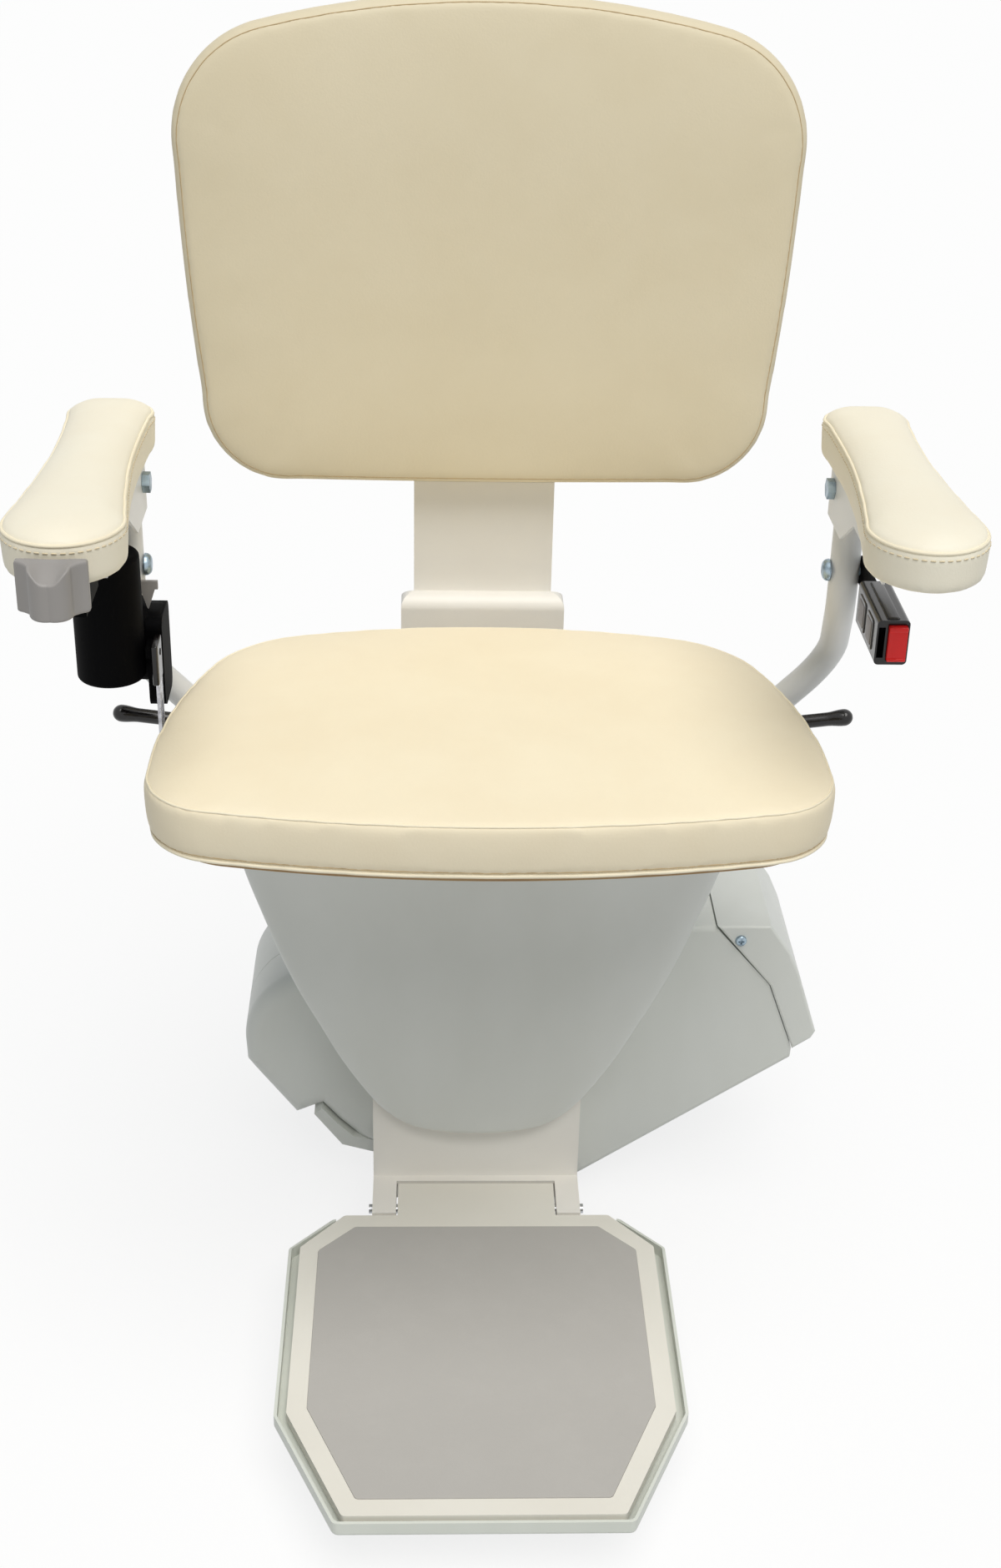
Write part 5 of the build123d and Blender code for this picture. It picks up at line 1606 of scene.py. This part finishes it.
@dataclass(frozen=True)
class ReelNeck:
    """The moulding that joins the belt reel's drum to the flat box beside it, sloping down to the box."""

    drum_x: float = -259.0
    box_x: float = -231.0
    front: float = -299.0
    rear: float = -262.0
    low: float = 487.0
    drum_top: float = 568.0
    box_top: float = 540.0
    edge: float = 2.0

    def build(self, wardrobe: Wardrobe) -> None:
        """Builds the neck: sections along X whose tops follow a smooth step, drawn in at the end.

        Args:
            wardrobe: Where materials come from.
        """
        end = 0.9 + 0.1 * np.sin(np.linspace(0, math.pi / 2, 6)[1:])
        share = np.concatenate([np.linspace(0.0, 0.9, 14), end])
        step = np.clip(share / 0.7, 0.0, 1.0)
        tops = self.drum_top + (self.box_top - self.drum_top) * smooth_step(step)
        inset = self.edge * (1.0 - np.sqrt(1.0 - np.clip((share - 0.9) / 0.1, 0.0, 1.0) ** 2))
        turn = np.linspace(0.0, 2 * math.pi, 60, endpoint=False) + TURN_START
        across = signed_power(np.cos(turn), 0.5)
        upward = signed_power(np.sin(turn), 0.62)
        half_depth, half_height = (self.rear - self.front) / 2, (tops - self.low) / 2
        rings = np.empty((len(share), len(turn), 3))
        rings[..., 0] = (self.drum_x + (self.box_x - self.drum_x) * share)[:, None]
        rings[..., 1] = (self.front + self.rear) / 2 + (half_depth - inset)[:, None] * across
        rings[..., 2] = ((tops + self.low) / 2)[:, None] + (half_height - inset)[:, None] * upward
        neck = capped_rings("reel_neck", rings)
        wardrobe.fit(neck, "black_plastic", "seat_base", "black_plastic")


@dataclass(frozen=True)
class BeltFittings:
    """Mouldings on the belt's metal: the tongue's grip, and the buckle's ridge, windows and button edges."""

    tongue_low: tuple[float, float, float] = (-235.0, -325.2, 498.8)
    tongue_high: tuple[float, float, float] = (-230.1, -301.8, 528.6)
    buckle_low: tuple[float, float, float] = (254.5, -390.0, 549.0)
    buckle_high: tuple[float, float, float] = (276.5, -322.0, 581.0)
    button_front: float = -393.0

    def build(self, wardrobe: Wardrobe) -> None:
        """Builds the fittings.

        Args:
            wardrobe: Where materials come from.
        """
        black = ("seat_base", "black_plastic")
        grip = rounded_bar("tongue_grip", self.tongue_low, self.tongue_high, 2, 0.9, 0.3)
        wardrobe.fit(grip, "gloss_black", "tongue", "black_plastic")
        (left, front, low), (right, rear, top) = self.buckle_low, self.buckle_high
        middle = (left + right) / 2
        corners = (middle - 4.4, front + 2, top - 1), (middle + 4.4, rear - 3, top + 1.1)
        wardrobe.fit(rounded_bar("buckle_ridge", *corners, 1, 1.2, 0.6), "gloss_black", *black)
        windows = (("window_front", front + 11, front + 32), ("window_rear", front + 38, rear - 8))
        for name, near, far in windows:
            corners = (left - 0.8, near, low + 5), (left + 1, far, top - 5)
            wardrobe.fit(rounded_bar(f"{name}_frame", *corners, 0, 0.8, 0.2), "gloss_black", *black)
            corners = (left - 1.1, near + 2.4, low + 7.6), (left + 1, far - 2.4, top - 7.6)
            wardrobe.fit(rounded_bar(f"{name}_pane", *corners, 0, 0.5, 0.2), "window_plastic", *black)
        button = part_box("buckle_button")
        x0, x1 = button[0][0] / MM, button[1][0] / MM
        z0, z1 = button[0][2] / MM, button[1][2] / MM
        face = self.button_front
        lip = rounded_bar("button_lip", (x0, face - 1.2, z1 - 3.6), (x1, face + 1.2, z1), 0, 0.9, 0.7)
        sill = rounded_bar("button_sill", (x0, face - 0.8, z0), (x1, face + 1.0, z0 + 2.2), 0, 0.7, 0.7)
        for edge in (lip, sill):
            wardrobe.fit(edge, "red_plastic", "button", "red_plastic")


# ---- studio
@dataclass(frozen=True)
class Viewpoint:
    """The photograph's viewpoint, found from the chair's own edges."""

    place: tuple[float, float, float] = (-41.3, -1660.0, 1133.0)
    pitch: float = 28.0
    yaw: float = 2.187
    roll: float = 1.305
    focal: float = 2520.0
    width: float = 1200.0
    sensor: float = 36.0
    far: float = 60.0

    def build(self) -> None:
        """Makes the camera and puts it in charge of the scene."""
        pitch, yaw, roll = (math.radians(angle) for angle in (self.pitch, self.yaw, self.roll))
        forward = Vector((math.sin(yaw) * math.cos(pitch), math.cos(yaw) * math.cos(pitch), -math.sin(pitch)))
        right = Vector((math.cos(yaw), -math.sin(yaw), 0.0))
        upward = right.cross(forward)
        turned_right = math.cos(roll) * right + math.sin(roll) * upward
        turned_up = -math.sin(roll) * right + math.cos(roll) * upward
        turn = Matrix((turned_right, turned_up, -forward)).transposed()
        data = bpy.data.cameras.new("portrait")
        data.sensor_fit = "HORIZONTAL"
        data.sensor_width = self.sensor
        data.lens = self.sensor * self.focal / self.width
        data.clip_end = self.far
        camera = bpy.data.objects.new("portrait", data)
        camera.matrix_world = Matrix.Translation(Vector(self.place) * MM) @ turn.to_4x4()
        bpy.context.scene.collection.objects.link(camera)
        bpy.context.scene.camera = camera


@dataclass(frozen=True)
class SkyLight:
    """One broad overhead light: where it comes from, how wide it is and how strong."""

    name: str
    direction: tuple[float, float, float]
    spread: float
    strength: float
    colour: tuple[float, float, float]

    def build(self) -> None:
        """Hangs the light, as a sun with a wide disc, so that it doesn't fade towards the floor."""
        data = bpy.data.lights.new(self.name, "SUN")
        data.angle = math.radians(self.spread)
        data.energy = self.strength
        data.color = self.colour
        lamp = bpy.data.objects.new(self.name, data)
        lamp.location = self.direction
        lamp.rotation_euler = Vector(self.direction).to_track_quat("Z", "Y").to_euler()
        bpy.context.scene.collection.objects.link(lamp)


@dataclass(frozen=True)
class Studio:
    """A plain pale room: a large floor just under the chair, one broad light above and an even sky."""

    floor_size: float = 30.0
    floor_tone: float = 0.62
    floor_glow: float = 0.8
    floor_gap: float = 0.004
    sky: tuple[float, float, float, float] = (0.84, 0.94, 1.0, 1.0)
    sky_strength: float = 0.215
    lamps: tuple[SkyLight, ...] = (
        SkyLight("overhead", (0.3, -1.2, 2.6), 46.0, 2.52, (1.0, 0.98, 0.95)),
    )

    def white_to_eye(self, tree: Tree, real: bpy.types.NodeSocket,
                     shown: bpy.types.NodeSocket) -> bpy.types.NodeSocket:
        """Chooses what a surface shows: one shader to the camera, gloss or glass, another to other light.

        Args:
            tree: The tree of the surface.
            real: What lights the chair.
            shown: What is seen.

        Returns:
            The chosen shader.
        """
        path = tree.node("ShaderNodeLightPath")
        seen = Value(tree, path.outputs["Is Camera Ray"])
        for ray in ("Is Glossy Ray", "Is Transmission Ray"):
            seen = seen.maths("MAXIMUM", seen, path.outputs[ray])
        return tree.node("ShaderNodeMixShader", {}, {0: seen, 1: real, 2: shown}).outputs[0]

    def make_sky(self) -> None:
        """Lights the scene evenly and shows white behind it."""
        world = bpy.data.worlds.new("sky")
        bpy.context.scene.world = world
        tree = Tree(world)
        light = {"Color": self.sky, "Strength": self.sky_strength}
        soft = tree.node("ShaderNodeBackground", {}, light).outputs[0]
        white = tree.node("ShaderNodeBackground", {}, {"Color": WHITE}).outputs[0]
        tree.node("ShaderNodeOutputWorld", {}, {"Surface": self.white_to_eye(tree, soft, white)})

    def make_floor(self, height: float) -> None:
        """Lays the floor: grey to the light that it sends back, nearly white to the eye.

        Args:
            height: Its height in metres.
        """
        half = self.floor_size / 2
        mesh = bpy.data.meshes.new("floor")
        plan = ((-half, -half), (half, -half), (half, half), (-half, half))
        mesh.from_pydata([(x, y, height) for x, y in plan], [], [(0, 1, 2, 3)])
        floor = bpy.data.objects.new("floor", mesh)
        bpy.context.scene.collection.objects.link(floor)
        material = bpy.data.materials.new("pale_floor")
        tree = Tree(material)
        tone = self.floor_tone
        dull = tree.node("ShaderNodeBsdfDiffuse", {}, {"Color": (tone, tone, tone, 1.0)}).outputs[0]
        pale = tree.node("ShaderNodeBsdfDiffuse", {}, {"Color": WHITE}).outputs[0]
        glow = tree.node("ShaderNodeEmission", {}, {"Color": WHITE}).outputs[0]
        seen = tree.node("ShaderNodeMixShader", {}, {0: self.floor_glow, 1: pale, 2: glow}).outputs[0]
        tree.node("ShaderNodeOutputMaterial", {}, {"Surface": self.white_to_eye(tree, dull, seen)})
        floor.data.materials.append(material)
        floor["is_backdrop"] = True

    def build(self, lowest: float) -> None:
        """Builds the room with its floor just under the chair.

        Args:
            lowest: The chair's lowest point in metres.
        """
        self.make_sky()
        self.make_floor(lowest - self.floor_gap)
        for lamp in self.lamps:
            lamp.build()
        bpy.context.scene.view_settings.view_transform = "Standard"


def dress_frame(frame: dict, wardrobe: Wardrobe) -> None:
    """Gives every CAD node the finish of its material slot.

    Args:
        frame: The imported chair.
        wardrobe: Where materials come from.
    """
    for part in frame["record"]["subparts"]:
        finish = NODE_FINISHES.get(part["node"], part["material_slot"])
        wardrobe.dress(frame["nodes"][part["node"]], finish)
    log.info("frame: %d nodes dressed", len(frame["nodes"]))


def box_rows(box: Any) -> list[list[float]]:
    """A box's corners as plain lists of numbers."""
    return [[float(number) for number in corner] for corner in box]


def main() -> None:
    """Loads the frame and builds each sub-assembly in turn."""
    logging.basicConfig(level=logging.INFO, format="%(name)s %(message)s")
    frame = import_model()
    cad_box = box_rows(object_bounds())
    wardrobe = Wardrobe()
    dress_frame(frame, wardrobe)
    Viewpoint().build()
    Studio().build(cad_box[0][2])
    Shroud().build(wardrobe)
    Toggle().build(wardrobe)
    LeverGrips().build(wardrobe)
    ReelNeck().build(wardrobe)
    BeltFittings().build(wardrobe)
    SeatPlan().cushion().build(wardrobe, "seat_cushion")
    BackPlan().cushion().build(wardrobe, "backrest_cushion")
    BackPlan().build_panel(wardrobe)
    for side, node in ((-1, "left_arm_pad"), (1, "right_arm_pad")):
        ArmPadPlan(side).cushion().build(wardrobe, node)


if __name__ == "__main__":
    main()
